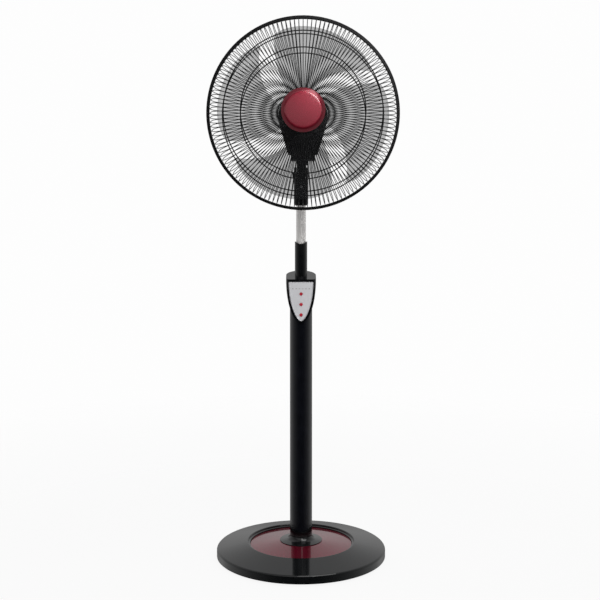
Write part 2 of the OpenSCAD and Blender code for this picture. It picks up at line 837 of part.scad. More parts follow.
module swivel_base() {
    front_f = trunk_front_f - 1;
    back_f = trunk_back_f + 1;
    color("#1b1c1f") difference() {
        union() {
            translate([axis_x - swivel_base_w / 2, -front_f, swivel_z])
                cube([swivel_base_w, front_f - back_f, swivel_base_h - seat]);
            translate([axis_x, swing_y, 0]) around(2, swing_r + 3)
                rod(3.2, swivel_z + 2, swing_z - seat);
        }
        rod(bush_r + fit, swivel_z - 1, trunk_z + 1);
        translate([axis_x, swing_y, swivel_z + 4]) cylinder(r = crank_r + 4, h = swivel_base_h);
    }
}

module swivel_bush() {
    color("#b08d57") {
        tube(bush_r, pin_d / 2 + fit, swivel_z + 0.2, trunk_z);
        tube(bush_r + 2, pin_d / 2 + fit, trunk_z - eps, trunk_z + 1.6);
    }
}

// Front view of the housing: the round motor and the trunk that narrows downwards.
// With a wall thickness it is the space inside, open at the bottom.
module housing_outline(in = 0) {
    r = motor_r - in;
    drop = axis_z - trunk_z + (in > 0 ? 1 : 0);
    half = trunk_half - in;
    touch = acos(r / norm([half, drop])) - atan2(drop, half);
    circle(r = r, $fn = 120);
    polygon([[-half, -drop], [half, -drop], (r - 0.1) * [cos(touch), sin(touch)],
             (r - 0.1) * [-cos(touch), sin(touch)]]);
}

// Trunk alone, between two depths
module trunk(f0, f1, in = 0) {
    on_blade_axis(f0) linear_extrude(height = f1 - f0) housing_outline(in);
}

module cover_screw_places() {
    for (a = [45, 135, 225, 315]) rotate([0, 0, a]) translate([motor_r - 5.5, 0, 0]) children();
}

module motor_front_cover() {
    edge = 6;
    color("#17181a") difference() {
        union() {
            on_blade_axis() rotate_extrude($fn = 120) polygon(concat(
                [[0, split_f], [motor_r, split_f]],
                arc([motor_r - edge, motor_front_f - edge], edge, 0, 90),
                [[0, motor_front_f]]));
            trunk(split_f, trunk_front_f);
            on_blade_axis(motor_front_f - 1) cylinder(r = spout_r, h = spout_l + 1);
        }
        difference() {
            union() {
                on_blade_axis(split_f - 1)
                    cylinder(r = motor_r - motor_wall, h = motor_front_f - motor_wall - split_f + 1);
                trunk(split_f - 1, trunk_front_f - motor_wall, motor_wall);
            }
            on_blade_axis(split_f) cover_screw_places() cylinder(r = 4, h = 30);
        }
        on_blade_axis() cylinder(r = spout_bore_r, h = 2 * motor_front_f);
        on_blade_axis(split_f - 1) cover_screw_places() cylinder(r = 1.5 + fit, h = 14);
    }
}

// Rounded back of the motor cover with its ring of cooling slots
screw_back = 22;
screw_seat_f = -13;

module motor_rear_cover() {
    edge = 16;
    slot_n = 20;
    back_slot_r = motor_r * 0.45;
    back_slot_l = 22;
    side_slot_l = 26;
    color("#17181a") difference() {
        union() {
            on_blade_axis() rotate_extrude($fn = 120) polygon(concat(
                [[0, -motor_back], [motor_r - edge - 6, -motor_back]],
                arc([motor_r - edge, -motor_back + edge], edge, -80, 0, 8),
                [[motor_r, split_f - seat], [0, split_f - seat]]));
            trunk(trunk_back_f, split_f - seat);
        }
        difference() {
            union() {
                on_blade_axis() rotate_extrude($fn = 120) polygon(concat(
                    [[0, -motor_back + motor_wall], [motor_r - edge - 6, -motor_back + motor_wall]],
                    arc([motor_r - edge, -motor_back + edge], edge - motor_wall, -80, 0, 6),
                    [[motor_r - motor_wall, split_f + 1], [0, split_f + 1]]));
                trunk(trunk_back_f + motor_wall, split_f + 1, motor_wall);
            }
            on_blade_axis(-screw_back) cover_screw_places()
                cylinder(r = 4, h = split_f + screw_back + 2);
        }
        on_blade_axis(-motor_back - 1) around(slot_n, back_slot_r)
            translate([-back_slot_l / 2, -1.5, 0]) cube([back_slot_l, 3, motor_wall + 2]);
        on_blade_axis(-motor_back + edge) around(slot_n * 2, motor_r - motor_wall - 1)
            translate([0, -1.3, 0]) cube([motor_wall + 3, 2.6, side_slot_l]);
        on_blade_axis(-screw_back - 2) cover_screw_places()
            cylinder(r = 1.5 + fit, h = screw_back + split_f + 8);
        on_blade_axis(-motor_back - 1) cover_screw_places() cylinder(r = 3.2, h = motor_back - 12);
    }
}

module cover_screws() {
    color("#8a8d90") on_blade_axis() cover_screw_places() {
        rod(2.9, screw_seat_f - 2.5, screw_seat_f - seat);
        rod(1.5, screw_seat_f - 1, split_f + 9);
    }
}

module motor_stator() {
    color("#70747a") on_blade_axis(stack_f - stack_l) difference() {
        cylinder(r = stator_r, h = stack_l);
        translate([0, 0, -1]) cylinder(r = rotor_r + air_gap, h = stack_l + 2);
        translate([0, 0, -1]) around(8, rotor_r + 7, 22.5) cylinder(r = 4, h = stack_l + 2);
    }
}

winding_r0 = 25.5;
winding_r1 = 34;
winding_l = 8;

module motor_windings() {
    color("#b5652b") {
        on_blade_axis(stack_f + seat) tube(winding_r1, winding_r0, 0, winding_l);
        on_blade_axis(stack_f - stack_l - winding_l - seat) tube(winding_r1, winding_r0, 0, winding_l);
    }
}

// Cast end bracket: a cup that sits on the stator and holds a bearing
module end_bracket(hub_l) {
    cup_l = winding_l + 2;
    difference() {
        union() {
            rod(stator_r, 0, cup_l + 3);
            rod(bearing_r + 7, cup_l, cup_l + hub_l);
        }
        rod(winding_r1 + 1, -1, cup_l);
        around(6, winding_r1 - 9) rod(4, cup_l - 1, cup_l + 4);
        rod(bearing_r + fit, cup_l + hub_l - bearing_l, cup_l + hub_l + 1);
        rod(shaft_r + 1, -1, cup_l + hub_l + 1);
    }
}

front_bracket_l = motor_front_f - motor_wall - seat - stack_f - seat - winding_l - 2;
rear_bracket_l = 16;

module motor_front_bracket() {
    color("#9a9da1") on_blade_axis(stack_f + seat) end_bracket(front_bracket_l);
}

module motor_rear_bracket() {
    color("#9a9da1") on_blade_axis(stack_f - stack_l - seat) mirror([0, 0, 1])
        end_bracket(rear_bracket_l);
}

module shaft_bearings() {
    color("#b08d57") {
        on_blade_axis(stack_f + seat + winding_l + 2 + front_bracket_l - bearing_l)
            tube(bearing_r, shaft_r + fit, seat, bearing_l);
        on_blade_axis(stack_f - stack_l - seat - winding_l - 2 - rear_bracket_l)
            tube(bearing_r, shaft_r + fit, 0, bearing_l - seat);
    }
}

// ---------------------------------------------------------------- swing drive

module swing_motor() {
    color("#9a9da1") translate([axis_x, swing_y, swing_z]) difference() {
        union() {
            cylinder(r = swing_r, h = swing_l);
            translate([-swing_r - 5, -5, 0]) cube([2 * swing_r + 10, 10, 1]);
        }
        translate([0, 0, -1]) cylinder(r = 2.5 + fit, h = 8);
    }
}

module swing_crank() {
    color("#c8c8c8") translate([axis_x, swing_y, 0]) {
        rod(crank_r, crank_z - 2, crank_z + 3);
        rod(2.5, crank_z, swing_z + 5);
        translate([crank_throw, 0, 0]) rod(2, crank_z - 9, crank_z);
    }
}

// ---------------------------------------------------------------- guard

// Straight lengths that take a wire from its first bend to its second, and from there to its end
function wire_run(flat_r) = wire_end_r - flat_r - wire_bend_r * sin(wire_sweep);
function wire_drop(depth) = depth - wire_bend_r * (1 - cos(wire_sweep));
function wire_shoulder(flat_r, slope, depth) =
    (wire_run(flat_r) * sin(wire_sweep) - wire_drop(depth) * cos(wire_sweep)) / sin(wire_sweep - slope);
function wire_wall(flat_r, slope, depth) =
    (wire_drop(depth) * cos(slope) - wire_run(flat_r) * sin(slope)) / sin(wire_sweep - slope);

// Centre line of a wire from the hub to the rim, as [radius, depth] points
function wire_path(start_r, flat_r, slope, depth) =
    let (l = wire_shoulder(flat_r, slope, depth), w = wire_wall(flat_r, slope, depth),
         r1 = flat_r + l * cos(slope), z1 = l * sin(slope))
    concat([[start_r, 0]],
           [for (k = [0:2]) let (a = slope * k / 2)
               [flat_r + wire_bend_r * sin(a), wire_bend_r * (1 - cos(a))]],
           [for (k = [0:5]) let (a = slope + (wire_sweep - slope) * k / 5)
               [r1 + wire_bend_r * sin(a), z1 + wire_bend_r * (1 - cos(a))]],
           [[r1 + wire_bend_r * sin(wire_sweep) + w * cos(wire_sweep),
             z1 + wire_bend_r * (1 - cos(wire_sweep)) + w * sin(wire_sweep)]]);

// Direction across a path at point i
function across(p, i) =
    let (d = p[min(i + 1, len(p) - 1)] - p[max(i - 1, 0)]) [-d[1], d[0]] / norm(d);

// All radial wires of a guard: flat in the middle, sloped at the shoulder and bent to the rim.
// The wires are drawn with a square section and built in twelve groups, which keeps them light.
module guard_wires(start_r, flat_r, slope, depth) {
    p = wire_path(start_r, flat_r, slope, depth);
    n = len(p) - 1;
    half = wire_d / 2;
    for (side = [0:11]) rotate([0, 0, side * 30])
        union() for (i = [0:wire_n / 12 - 1]) rotate([90, 0, i * 360 / wire_n])
            linear_extrude(height = wire_d, center = true)
                polygon(concat([for (k = [0:n]) p[k] + half * across(p, k)],
                               [for (k = [n:-1:0]) p[k] - half * across(p, k)]));
}

// A round ring of wire
module wire_ring(r, d) {
    rotate_extrude($fn = 180) translate([r, 0]) circle(r = d / 2, $fn = 24);
}

module front_guard_wires() {
    color("#141416") on_blade_axis(front_flat_f) mirror([0, 0, 1])
        guard_wires(front_start_r, front_flat_r, front_slope, front_depth);
}

module rear_guard_wires() {
    color("#141416") on_blade_axis(rear_flat_f)
        guard_wires(rear_start_r, rear_flat_r, rear_slope, rear_depth);
}

// Depth below the flat wires of a ring that lies against the inside of the first bend or the shoulder
function ring_depth(r, flat_r, slope) =
    let (bend = wire_bend_r - wire_d / 2 - ring_d / 2 - fit)
    r - flat_r < bend * sin(slope)
        ? wire_bend_r - sqrt(pow(bend, 2) - pow(max(r - flat_r, 0), 2))
        : wire_bend_r - bend * cos(slope) + (r - flat_r - bend * sin(slope)) * tan(slope);

module front_guard_rings() {
    color("#141416") {
        for (r = front_ring_r)
            on_blade_axis(front_flat_f - ring_depth(r, front_flat_r, front_slope)) wire_ring(r, ring_d);
        on_blade_axis(front_end_f) wire_ring(end_ring_r, end_ring_d);
    }
}

module rear_guard_rings() {
    color("#141416") {
        for (r = rear_ring_r)
            on_blade_axis(rear_flat_f + ring_depth(r, rear_flat_r, rear_slope)) wire_ring(r, ring_d);
        on_blade_axis(rear_end_f) wire_ring(end_ring_r, end_ring_d);
    }
}

module guard_band() {
    half = band_l / 2;
    round_r = 1.6;
    color("#121314") on_blade_axis(band_front) rotate_extrude($fn = 180) difference() {
        polygon(concat(
            [[band_in_r, -half], [guard_r - round_r, -half]],
            arc([guard_r - round_r, -half + round_r], round_r, -60, 0, 3),
            arc([guard_r - round_r, half - round_r], round_r, 0, 60, 3),
            [[guard_r - round_r, half], [band_in_r, half]]));
        translate([band_in_r - 1, -half + band_lip]) square([groove_r - band_in_r + 1, band_l - 2 * band_lip]);
    }
}

module rear_guard_plate() {
    color("#1a1a1c") on_blade_axis(motor_front_f + fit)
        tube(rear_start_r + 7, spout_r + fit, 0, plate_t - fit);
}

module guard_nut() {
    nut_r = 33;
    color("#202124") on_blade_axis(nut_f) difference() {
        union() {
            cylinder(r = nut_r, h = 3);
            cylinder(r = nut_r - 6, h = guard_nut_l);
            around(6, nut_r - 5.5) cylinder(r = 4.8, h = guard_nut_l, $fn = 32);
        }
        translate([0, 0, -1]) cylinder(r = spout_r + fit, h = guard_nut_l + 2);
    }
}

module front_guard_plate() {
    color("#1a1a1c") on_blade_axis(front_plate_f - plate_t) difference() {
        cylinder(r = front_start_r + 3, h = plate_t);
        translate([0, 0, -1]) cylinder(r = 12, h = plate_t + 2);
        translate([0, 0, -1]) around(3, cap_screw_r, 90) cylinder(r = 1.5 + fit, h = plate_t + 2);
    }
}

module centre_cap() {
    wall = 2;
    side = cap_h / 3;
    face_r = cap_face_d / 2;
    rim_r = cap_d / 2;
    post_f = -wire_d - fit;
    color("#8a2530") on_blade_axis(cap_f) difference() {
        union() {
            difference() {
                rotate_extrude($fn = 120) polygon(concat(
                    [[0, 0], [rim_r - 0.6, 0], [rim_r, 0.6], [rim_r, side],
                     [rim_r - 2.2, side + 2.2], [face_r + 1.6, cap_h - 1.2]],
                    [[face_r, cap_h - 0.4], [face_r - 2, cap_h], [0, cap_h + 0.4]]));
                rotate_extrude($fn = 120) polygon([[0, -1], [rim_r - wall, -1],
                    [rim_r - wall, side - 0.6], [rim_r - wall - 2.2, side + 1],
                    [face_r - 0.6, cap_h - wall - 0.8], [0, cap_h - wall]]);
            }
            around(3, cap_screw_r, 90) rod(4, post_f, cap_h - wall / 2);
        }
        around(3, cap_screw_r, 90) rod(1.5 + fit, post_f - 1, cap_h - 3.5);
    }
}

module cap_screws() {
    color("#8a8d90") on_blade_axis(front_plate_f - plate_t) around(3, cap_screw_r, 90) {
        rod(3, -2.2, -fit);
        rod(1.5, -1, cap_screw_l);
    }
}

// ---------------------------------------------------------------- rotor and blade

module motor_shaft() {
    color("#c0c2c5") on_blade_axis() {
        rod(shaft_r, shaft_f0, shaft_f1);
        on_blade_pin() cylinder(r = 1.5, h = drive_pin_l, center = true);
    }
}

drive_pin_l = 16;
pin_back = 30;
pin_f = hub_front_f - pin_back;

// Cross pin that drives the hub
module on_blade_pin() {
    translate([0, 0, pin_f]) rotate([0, 90, 0]) children();
}

module motor_rotor() {
    color("#84888d") on_blade_axis(stack_f - stack_l) difference() {
        cylinder(r = rotor_r, h = stack_l);
        translate([0, 0, -1]) cylinder(r = shaft_r + fit, h = stack_l + 2);
    }
}

// Angles of the two edges of a blade at radius r, seen from the front
mid_r = 100;
function front_edge(r) = 32 - 0.136 * (r - mid_r);
function rear_edge(r) = -33.3 - 0.29 * (r - mid_r);

// A point of the blade: s runs from hub to tip, u from the rear edge to the front edge
function blade_point(s, u, side) = let (
    round_off = 11 * pow(abs(2 * u - 1), 4),
    r = blade_root_r + s * (tip_r - round_off - blade_root_r),
    span = (front_edge(r) - rear_edge(r)) * blade_span,
    a = (front_edge(r) + rear_edge(r)) / 2 + span * (u - 0.5),
    pitch = atan2(blade_depth, r * span * PI / 180),
    f = blade_mid_f + (u - 0.5) * blade_depth - blade_camber * (1 - pow(2 * u - 1, 2)) * (0.4 + 0.6 * s)
        + side * blade_t / 2 / cos(min(pitch, 66)))
    [r * cos(a), r * sin(a), f];

blade_span = 4 / blade_n;
blade_root_r = hub_r - 2;

module blade() {
    ns = 13;
    nu = 12;
    cols = nu + 1;
    side_n = (ns + 1) * cols;
    points = [for (side = [-1, 1], i = [0:ns], j = [0:nu]) blade_point(i / ns, j / nu, side)];
    function at(side, i, j) = side * side_n + i * cols + j;
    function quad(a, b, c, d) = [[a, c, b], [a, d, c]];
    cells = concat(
        [for (i = [0:ns - 1], j = [0:nu - 1]) each
            quad(at(0, i, j), at(0, i, j + 1), at(0, i + 1, j + 1), at(0, i + 1, j))],
        [for (i = [0:ns - 1], j = [0:nu - 1]) each
            quad(at(1, i, j), at(1, i + 1, j), at(1, i + 1, j + 1), at(1, i, j + 1))],
        [for (i = [0:ns - 1]) each quad(at(0, i, 0), at(0, i + 1, 0), at(1, i + 1, 0), at(1, i, 0))],
        [for (i = [0:ns - 1]) each quad(at(0, i, nu), at(1, i, nu), at(1, i + 1, nu), at(0, i + 1, nu))],
        [for (j = [0:nu - 1]) each quad(at(0, 0, j), at(1, 0, j), at(1, 0, j + 1), at(0, 0, j + 1))],
        [for (j = [0:nu - 1]) each quad(at(0, ns, j), at(0, ns, j + 1), at(1, ns, j + 1), at(1, ns, j))]);
    polyhedron(points = points, faces = cells);
}

module fan_blade() {
    wall = 2.4;
    hub_f0 = hub_front_f - hub_l;
    color("#5c6066") on_blade_axis() difference() {
        union() {
            difference() {
                union() {
                    rod(hub_r, hub_f0, hub_front_f);
                    for (i = [0:blade_n - 1]) rotate([0, 0, i * 360 / blade_n]) blade();
                }
                rod(hub_r - wall, hub_f0 - 1, hub_front_f - wall);
            }
            rod(9, hub_front_f - 40, hub_front_f - wall / 2);
        }
        rod(shaft_r + fit, hub_f0, hub_front_f + 1);
        translate([-9.5, -1.6, hub_front_f - 41]) cube([19, 3.2, 41 - 30 + 1.6]);
    }
}

module blade_nut() {
    color("#2a2b2e") on_blade_axis(hub_front_f + seat) difference() {
        union() {
            cylinder(r = 17, h = 3);
            cylinder(r = 11, h = blade_nut_l);
            around(5, 12) cylinder(r = 3.8, h = blade_nut_l - 4, $fn = 32);
        }
        translate([0, 0, -1]) cylinder(r = shaft_r + fit, h = 1 + shaft_f1 - hub_front_f + 1);
    }
}

base_cover();
base_disc();
base_weight();
base_feet();
base_screws();
base_bolt();
collar_nut();
base_collar();
column_tube();
column_plug();
sleeve_spacer();
cord_grommet();
sleeve_tube();
sleeve_bush();
control_front_shell();
control_rear_shell();
shell_screws();
control_panel();
circuit_board();
button_switches();
indicator_lights();
power_button();
speed_button();
swing_button();
height_lock_knob();
inner_tube();
tube_end_plug();
neck_post();
neck_screw();
tilt_bolt();
tilt_nut();
tilt_bracket();
swivel_pin();
swivel_base();
swivel_bush();
motor_front_cover();
motor_rear_cover();
cover_screws();
motor_stator();
motor_windings();
motor_front_bracket();
motor_rear_bracket();
shaft_bearings();
swing_motor();
swing_crank();
rear_guard_plate();
rear_guard_wires();
rear_guard_rings();
guard_nut();
guard_band();
front_guard_plate();
front_guard_wires();
front_guard_rings();
centre_cap();
cap_screws();
motor_shaft();
motor_rotor();
fan_blade();
blade_nut();
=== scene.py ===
"""Looks of the pedestal fan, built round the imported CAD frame. Metres, Z up, the fan faces -Y."""
import json
import math
import bpy
import bmesh
from mathutils import Matrix, Vector

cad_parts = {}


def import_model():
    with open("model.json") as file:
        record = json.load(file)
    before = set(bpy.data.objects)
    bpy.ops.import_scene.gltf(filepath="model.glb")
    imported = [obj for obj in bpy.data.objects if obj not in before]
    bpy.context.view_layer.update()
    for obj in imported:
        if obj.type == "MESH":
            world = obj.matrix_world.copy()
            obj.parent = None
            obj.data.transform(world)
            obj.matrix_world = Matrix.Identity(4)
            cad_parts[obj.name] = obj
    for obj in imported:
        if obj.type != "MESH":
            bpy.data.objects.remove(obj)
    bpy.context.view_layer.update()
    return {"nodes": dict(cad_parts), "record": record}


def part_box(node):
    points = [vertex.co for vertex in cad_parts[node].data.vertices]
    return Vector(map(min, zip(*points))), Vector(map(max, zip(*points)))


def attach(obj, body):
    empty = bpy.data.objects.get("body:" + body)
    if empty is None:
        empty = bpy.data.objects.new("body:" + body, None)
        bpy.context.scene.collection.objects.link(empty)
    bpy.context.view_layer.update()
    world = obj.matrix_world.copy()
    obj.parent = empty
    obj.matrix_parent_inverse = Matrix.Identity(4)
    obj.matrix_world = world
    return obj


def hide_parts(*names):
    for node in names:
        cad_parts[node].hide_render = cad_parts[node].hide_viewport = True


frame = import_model()

MM = 0.001
scene = bpy.context.scene
scene.view_settings.view_transform = "Standard"

# ------------------------------------------------------------------ places taken from the frame

band_lo, band_hi = (Vector(p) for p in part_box("guard_band"))
AXIS_X = (band_lo.x + band_hi.x) / 2
AXIS_Z = (band_lo.z + band_hi.z) / 2
BAND_Y = (band_lo.y + band_hi.y) / 2

# ------------------------------------------------------------------ camera

CAMERA_DROP = 0.0496  # angle below the horizontal, in radians

camera_data = bpy.data.cameras.new("camera")
camera = bpy.data.objects.new("camera", camera_data)
scene.collection.objects.link(camera)
scene.camera = camera
camera_data.sensor_width = 36
camera_data.lens = 59.48
camera_data.shift_y = -0.06
camera.location = (-0.0025, -2.4001, 0.8372)
camera.rotation_euler = (math.radians(90) - CAMERA_DROP, 0, 0)
camera_data.clip_end = 60

# ------------------------------------------------------------------ mesh helpers


def add_piece(name, bm, material, body, smooth_angle):
    """Turns a bmesh into an object that rides on a body. Edges over smooth_angle degrees stay crisp."""
    mesh = bpy.data.meshes.new(name)
    bm.normal_update()
    for face in bm.faces:
        face.smooth = True
    for edge in bm.edges:
        if len(edge.link_faces) == 2 and edge.calc_face_angle(0) > math.radians(smooth_angle):
            edge.smooth = False
    bm.to_mesh(mesh)
    bm.free()
    piece = bpy.data.objects.new(name, mesh)
    scene.collection.objects.link(piece)
    mesh.materials.append(material)
    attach(piece, body)
    return piece


def arc(cx, cz, r, a0, a1, n=8):
    """Points of an arc in a profile, angles in degrees."""
    return [(cx + r * math.cos(math.radians(a0 + (a1 - a0) * i / n)),
             cz + r * math.sin(math.radians(a0 + (a1 - a0) * i / n))) for i in range(n + 1)]


def full_turn(n):
    """n angles evenly spaced round a circle, in radians."""
    return [2 * math.pi * k / n for k in range(n)]


def bridge(bm, low, high):
    """Band of faces between two closed rows of vertices. A row of one vertex is a tip."""
    n = max(len(low), len(high))
    for k in range(n):
        m = (k + 1) % n
        if len(low) == 1:
            bm.faces.new((low[0], high[m], high[k]))
        elif len(high) == 1:
            bm.faces.new((low[k], low[m], high[0]))
        else:
            bm.faces.new((low[k], low[m], high[m], high[k]))


def spin_profile(bm, profile, n, place, closed=True):
    """Revolves (r, z) points about local Z into bm. A point on the axis becomes one vertex."""
    rings = []
    for r, z in profile:
        if r < 1e-7:
            rings.append([bm.verts.new(place @ Vector((0, 0, z)))])
        else:
            rings.append([bm.verts.new(place @ Vector((r * math.cos(a), r * math.sin(a), z)))
                          for a in full_turn(n)])
    pairs = list(zip(rings, rings[1:]))
    if closed and len(rings[0]) > 1 and len(rings[-1]) > 1:
        pairs.append((rings[-1], rings[0]))
    for low, high in pairs:
        if len(low) > 1 or len(high) > 1:
            bridge(bm, low, high)


def sweep_tube(bm, path, radius, sides, up):
    """Sweeps a round section along a list of points into bm and closes both ends."""
    rings = []
    last = len(path) - 1
    for i, point in enumerate(path):
        along = (path[min(i + 1, last)] - path[max(i - 1, 0)]).normalized()
        side = along.cross(up).normalized()
        lift = side.cross(along).normalized()
        rings.append([bm.verts.new(point + radius * (math.cos(a) * side + math.sin(a) * lift))
                      for a in full_turn(sides)])
    for low, high in zip(rings, rings[1:]):
        bridge(bm, low, high)
    bm.faces.new(list(reversed(rings[0])))
    bm.faces.new(rings[-1])


def forward(y, x=AXIS_X, z=AXIS_Z):
    """Place whose local Z points forwards (-Y), on the blade axis unless given."""
    return Matrix.Translation((x, y, z)) @ Matrix.Rotation(math.radians(90), 4, "X")


def outside_out(bm):
    """Turns the faces of a closed shape outwards."""
    bmesh.ops.recalc_face_normals(bm, faces=bm.faces)


# ------------------------------------------------------------------ material helpers

NOISE_ROUGHNESS = 0.55
NOISE_RANGE = (0.3, 0.7)  # most of a noise's values lie between these


def times(color, factor):
    """A linear RGB colour made lighter or darker."""
    return tuple(c * factor for c in color)


def add_node(tree, kind, inputs=None, **settings):
    """New shader node. Each input gets a plain value, or the output of another node that feeds it."""
    node = tree.nodes.new(kind)
    for key, value in settings.items():
        setattr(node, key, value)
    for key, value in (inputs or {}).items():
        if isinstance(value, bpy.types.NodeSocket):
            tree.links.new(value, node.inputs[key])
        else:
            node.inputs[key].default_value = value
    return node


def set_ramp(node, stops):
    """Gives a colour ramp its (position, RGB) stops."""
    elements = node.color_ramp.elements
    while len(elements) < len(stops):
        elements.new(0.5)
    for element, (position, color) in zip(elements, stops):
        element.position = position
        element.color = (*color, 1)


class Shader:
    """A material with a Principled shader and object-space coordinates. Colours are linear RGB."""

    def __init__(self, name, color, roughness, metallic=0.0):
        self.material = bpy.data.materials.new(name)
        self.material.use_nodes = True
        self.tree = self.material.node_tree
        self.bsdf = self.tree.nodes["Principled BSDF"]
        self.set("Base Color", (*color, 1))
        self.set("Roughness", roughness)
        self.set("Metallic", metallic)
        self.coords = add_node(self.tree, "ShaderNodeTexCoord").outputs["Object"]
        self.relief = None

    def set(self, socket, value):
        self.bsdf.inputs[socket].default_value = value

    def link(self, value, socket):
        self.tree.links.new(value, self.bsdf.inputs[socket])

    def noise(self, scale, detail, stretch=None):
        """Cloudy noise, of coordinates scaled along each axis if stretch is given."""
        where = self.coords
        if stretch:
            where = add_node(self.tree, "ShaderNodeMapping",
                             {"Scale": stretch, "Vector": where}).outputs["Vector"]
        return add_node(self.tree, "ShaderNodeTexNoise", {
            "Scale": scale, "Detail": detail, "Roughness": NOISE_ROUGHNESS,
            "Vector": where}).outputs["Fac"]

    def voronoi(self, scale):
        """Mosaic of cells: a random colour for each one, and the distance to its middle."""
        node = add_node(self.tree, "ShaderNodeTexVoronoi", {"Scale": scale, "Vector": self.coords})
        return node.outputs["Color"], node.outputs["Distance"]

    def random_cells(self, scale):
        """Three random numbers for each cell of a fine mosaic."""
        color, _ = self.voronoi(scale)
        node = add_node(self.tree, "ShaderNodeSeparateColor", {"Color": color})
        return node.outputs["Red"], node.outputs["Green"], node.outputs["Blue"]

    def remap(self, value, low, high, to_low, to_high):
        return add_node(self.tree, "ShaderNodeMapRange", {
            "Value": value, "From Min": low, "From Max": high,
            "To Min": to_low, "To Max": to_high}).outputs["Result"]

    def ramp(self, value, stops):
        node = add_node(self.tree, "ShaderNodeValToRGB", {"Fac": value})
        set_ramp(node, stops)
        return node.outputs["Color"]

    def vary(self, socket, scale, detail, low, high, seen=NOISE_RANGE):
        """Lets a number of the shader drift between low and high in soft patches."""
        self.link(self.remap(self.noise(scale, detail), *seen, low, high), socket)

    def mottle(self, scale, detail, first, second, stops):
        """Lets the colour drift between two tones in soft patches."""
        self.link(self.ramp(self.noise(scale, detail), list(zip(stops, (first, second)))), "Base Color")

    def bump(self, value, distance, strength):
        """Relief of a given height, on top of the relief so far."""
        inputs = {"Distance": distance, "Strength": strength, "Height": value}
        if self.relief is not None:
            inputs["Normal"] = self.relief
        self.relief = add_node(self.tree, "ShaderNodeBump", inputs).outputs["Normal"]
        self.link(self.relief, "Normal")


def gloss_black(name, tint, roughness):
    """Polished black moulding: faint orange peel, a little haze and uneven colour."""
    s = Shader(name, tint, roughness)
    s.vary("Roughness", 9, 5, roughness * 0.7, roughness * 1.9, (0.3, 0.75))
    s.mottle(22, 6, tint, times(tint, 1.7), (0.35, 0.8))
    s.bump(s.noise(240, 2), 0.02 * MM, 0.35)
    s.bump(s.noise(3.2, 2), 0.6 * MM, 0.12)
    return s.material


def paint_black(name, tint, roughness):
    """Gloss powder coat: fine orange peel and speckle."""
    s = Shader(name, tint, roughness)
    s.vary("Roughness", 14, 5, roughness * 0.8, roughness * 1.35)
    s.mottle(60, 4, tint, times(tint, 1.8), (0.4, 0.85))
    s.bump(s.noise(520, 3), 0.03 * MM, 0.1)
    return s.material


def satin_black(name, tint, roughness, grain=1500, gloss=0.5):
    """Moulded nylon or ABS with a fine spark-eroded grain."""
    s = Shader(name, tint, roughness)
    s.set("Specular IOR Level", gloss)
    s.vary("Roughness", 18, 5, roughness * 0.85, roughness * 1.2)
    s.mottle(40, 5, tint, times(tint, 2.0), (0.35, 0.85))
    _, distance = s.voronoi(grain)
    s.bump(distance, 0.04 * MM, 0.4)
    return s.material


def rubber(name):
    """Dull black rubber with dust in its pores."""
    s = Shader(name, (0.018, 0.018, 0.018), 0.8)
    s.vary("Roughness", 30, 6, 0.7, 0.92)
    s.mottle(55, 6, (0.014, 0.014, 0.014), (0.045, 0.043, 0.04), (0.3, 0.8))
    s.bump(s.noise(900, 3), 0.08 * MM, 0.6)
    return s.material


def metallic_red(name, base, flake, roughness, metallic, coat_ior, coat_roughness=0.03):
    """Metallic red paint under clear lacquer: fine flakes vary the colour and the tilt."""
    s = Shader(name, base, roughness, metallic)
    red, green, _ = s.random_cells(5200)
    s.link(s.ramp(red, [(0.0, base), (0.6, base), (1.0, flake)]), "Base Color")
    s.vary("Roughness", 12, 4, roughness * 0.85, roughness * 1.15)
    s.bump(green, 0.004 * MM, 0.2)
    s.set("Specular IOR Level", 0.0)
    s.set("Coat Weight", 1.0)
    s.set("Coat IOR", coat_ior)
    s.set("Coat Roughness", coat_roughness)
    return s.material


def silver_paint(name):
    """Silver paint of the panel, with fine flakes."""
    s = Shader(name, (0.90, 0.90, 0.925), 0.34, 0.3)
    red, _, blue = s.random_cells(3200)
    s.link(s.ramp(blue, [(0.0, (0.85, 0.85, 0.88)), (1.0, (0.95, 0.95, 0.98))]), "Base Color")
    s.vary("Roughness", 40, 4, 0.32, 0.42)
    s.bump(red, 0.02 * MM, 0.15)
    return s.material


def chrome(name):
    """Plated tube with fine draw lines along it, and painted streaks of reflection: lighter and darker
    bands along it in its colour.
    """
    s = Shader(name, (0.92, 0.90, 0.885), 0.5, 0.36)
    lines = s.noise(1.0, 6, stretch=(900, 900, 6))
    s.link(s.remap(lines, *NOISE_RANGE, 0.4, 0.6), "Roughness")
    # painted reflection: lighter and darker lengthwise bands in the colour stand in for the streaks
    # that the tube reflects
    painted_reflection_streaks = s.noise(1.0, 5, stretch=(420, 420, 2.5))
    s.link(s.ramp(painted_reflection_streaks, [(0.32, (0.84, 0.82, 0.805)), (0.68, (1.0, 0.98, 0.965))]), "Base Color")
    s.bump(lines, 0.01 * MM, 0.3)
    return s.material


def bare_metal(name, color, roughness, metallic=1.0, stain=0.72):
    """Plain metal with a fine grain and slightly darker patches."""
    s = Shader(name, color, roughness, metallic)
    s.vary("Roughness", 260, 5, roughness * 0.7, roughness * 1.35)
    s.mottle(70, 6, times(color, stain), color, (0.3, 0.75))
    s.bump(s.noise(780, 3), 0.03 * MM, 0.3)
    return s.material


def red_plastic(name, color=(0.60, 0.025, 0.05), roughness=0.28):
    """Moulded plastic of the keys and the small lights."""
    s = Shader(name, color, roughness)
    s.mottle(140, 4, times(color, 0.8), color, (0.35, 0.75))
    s.vary("Roughness", 90, 4, roughness * 0.8, roughness * 1.3)
    s.bump(s.noise(1400, 2), 0.03 * MM, 0.3)
    return s.material


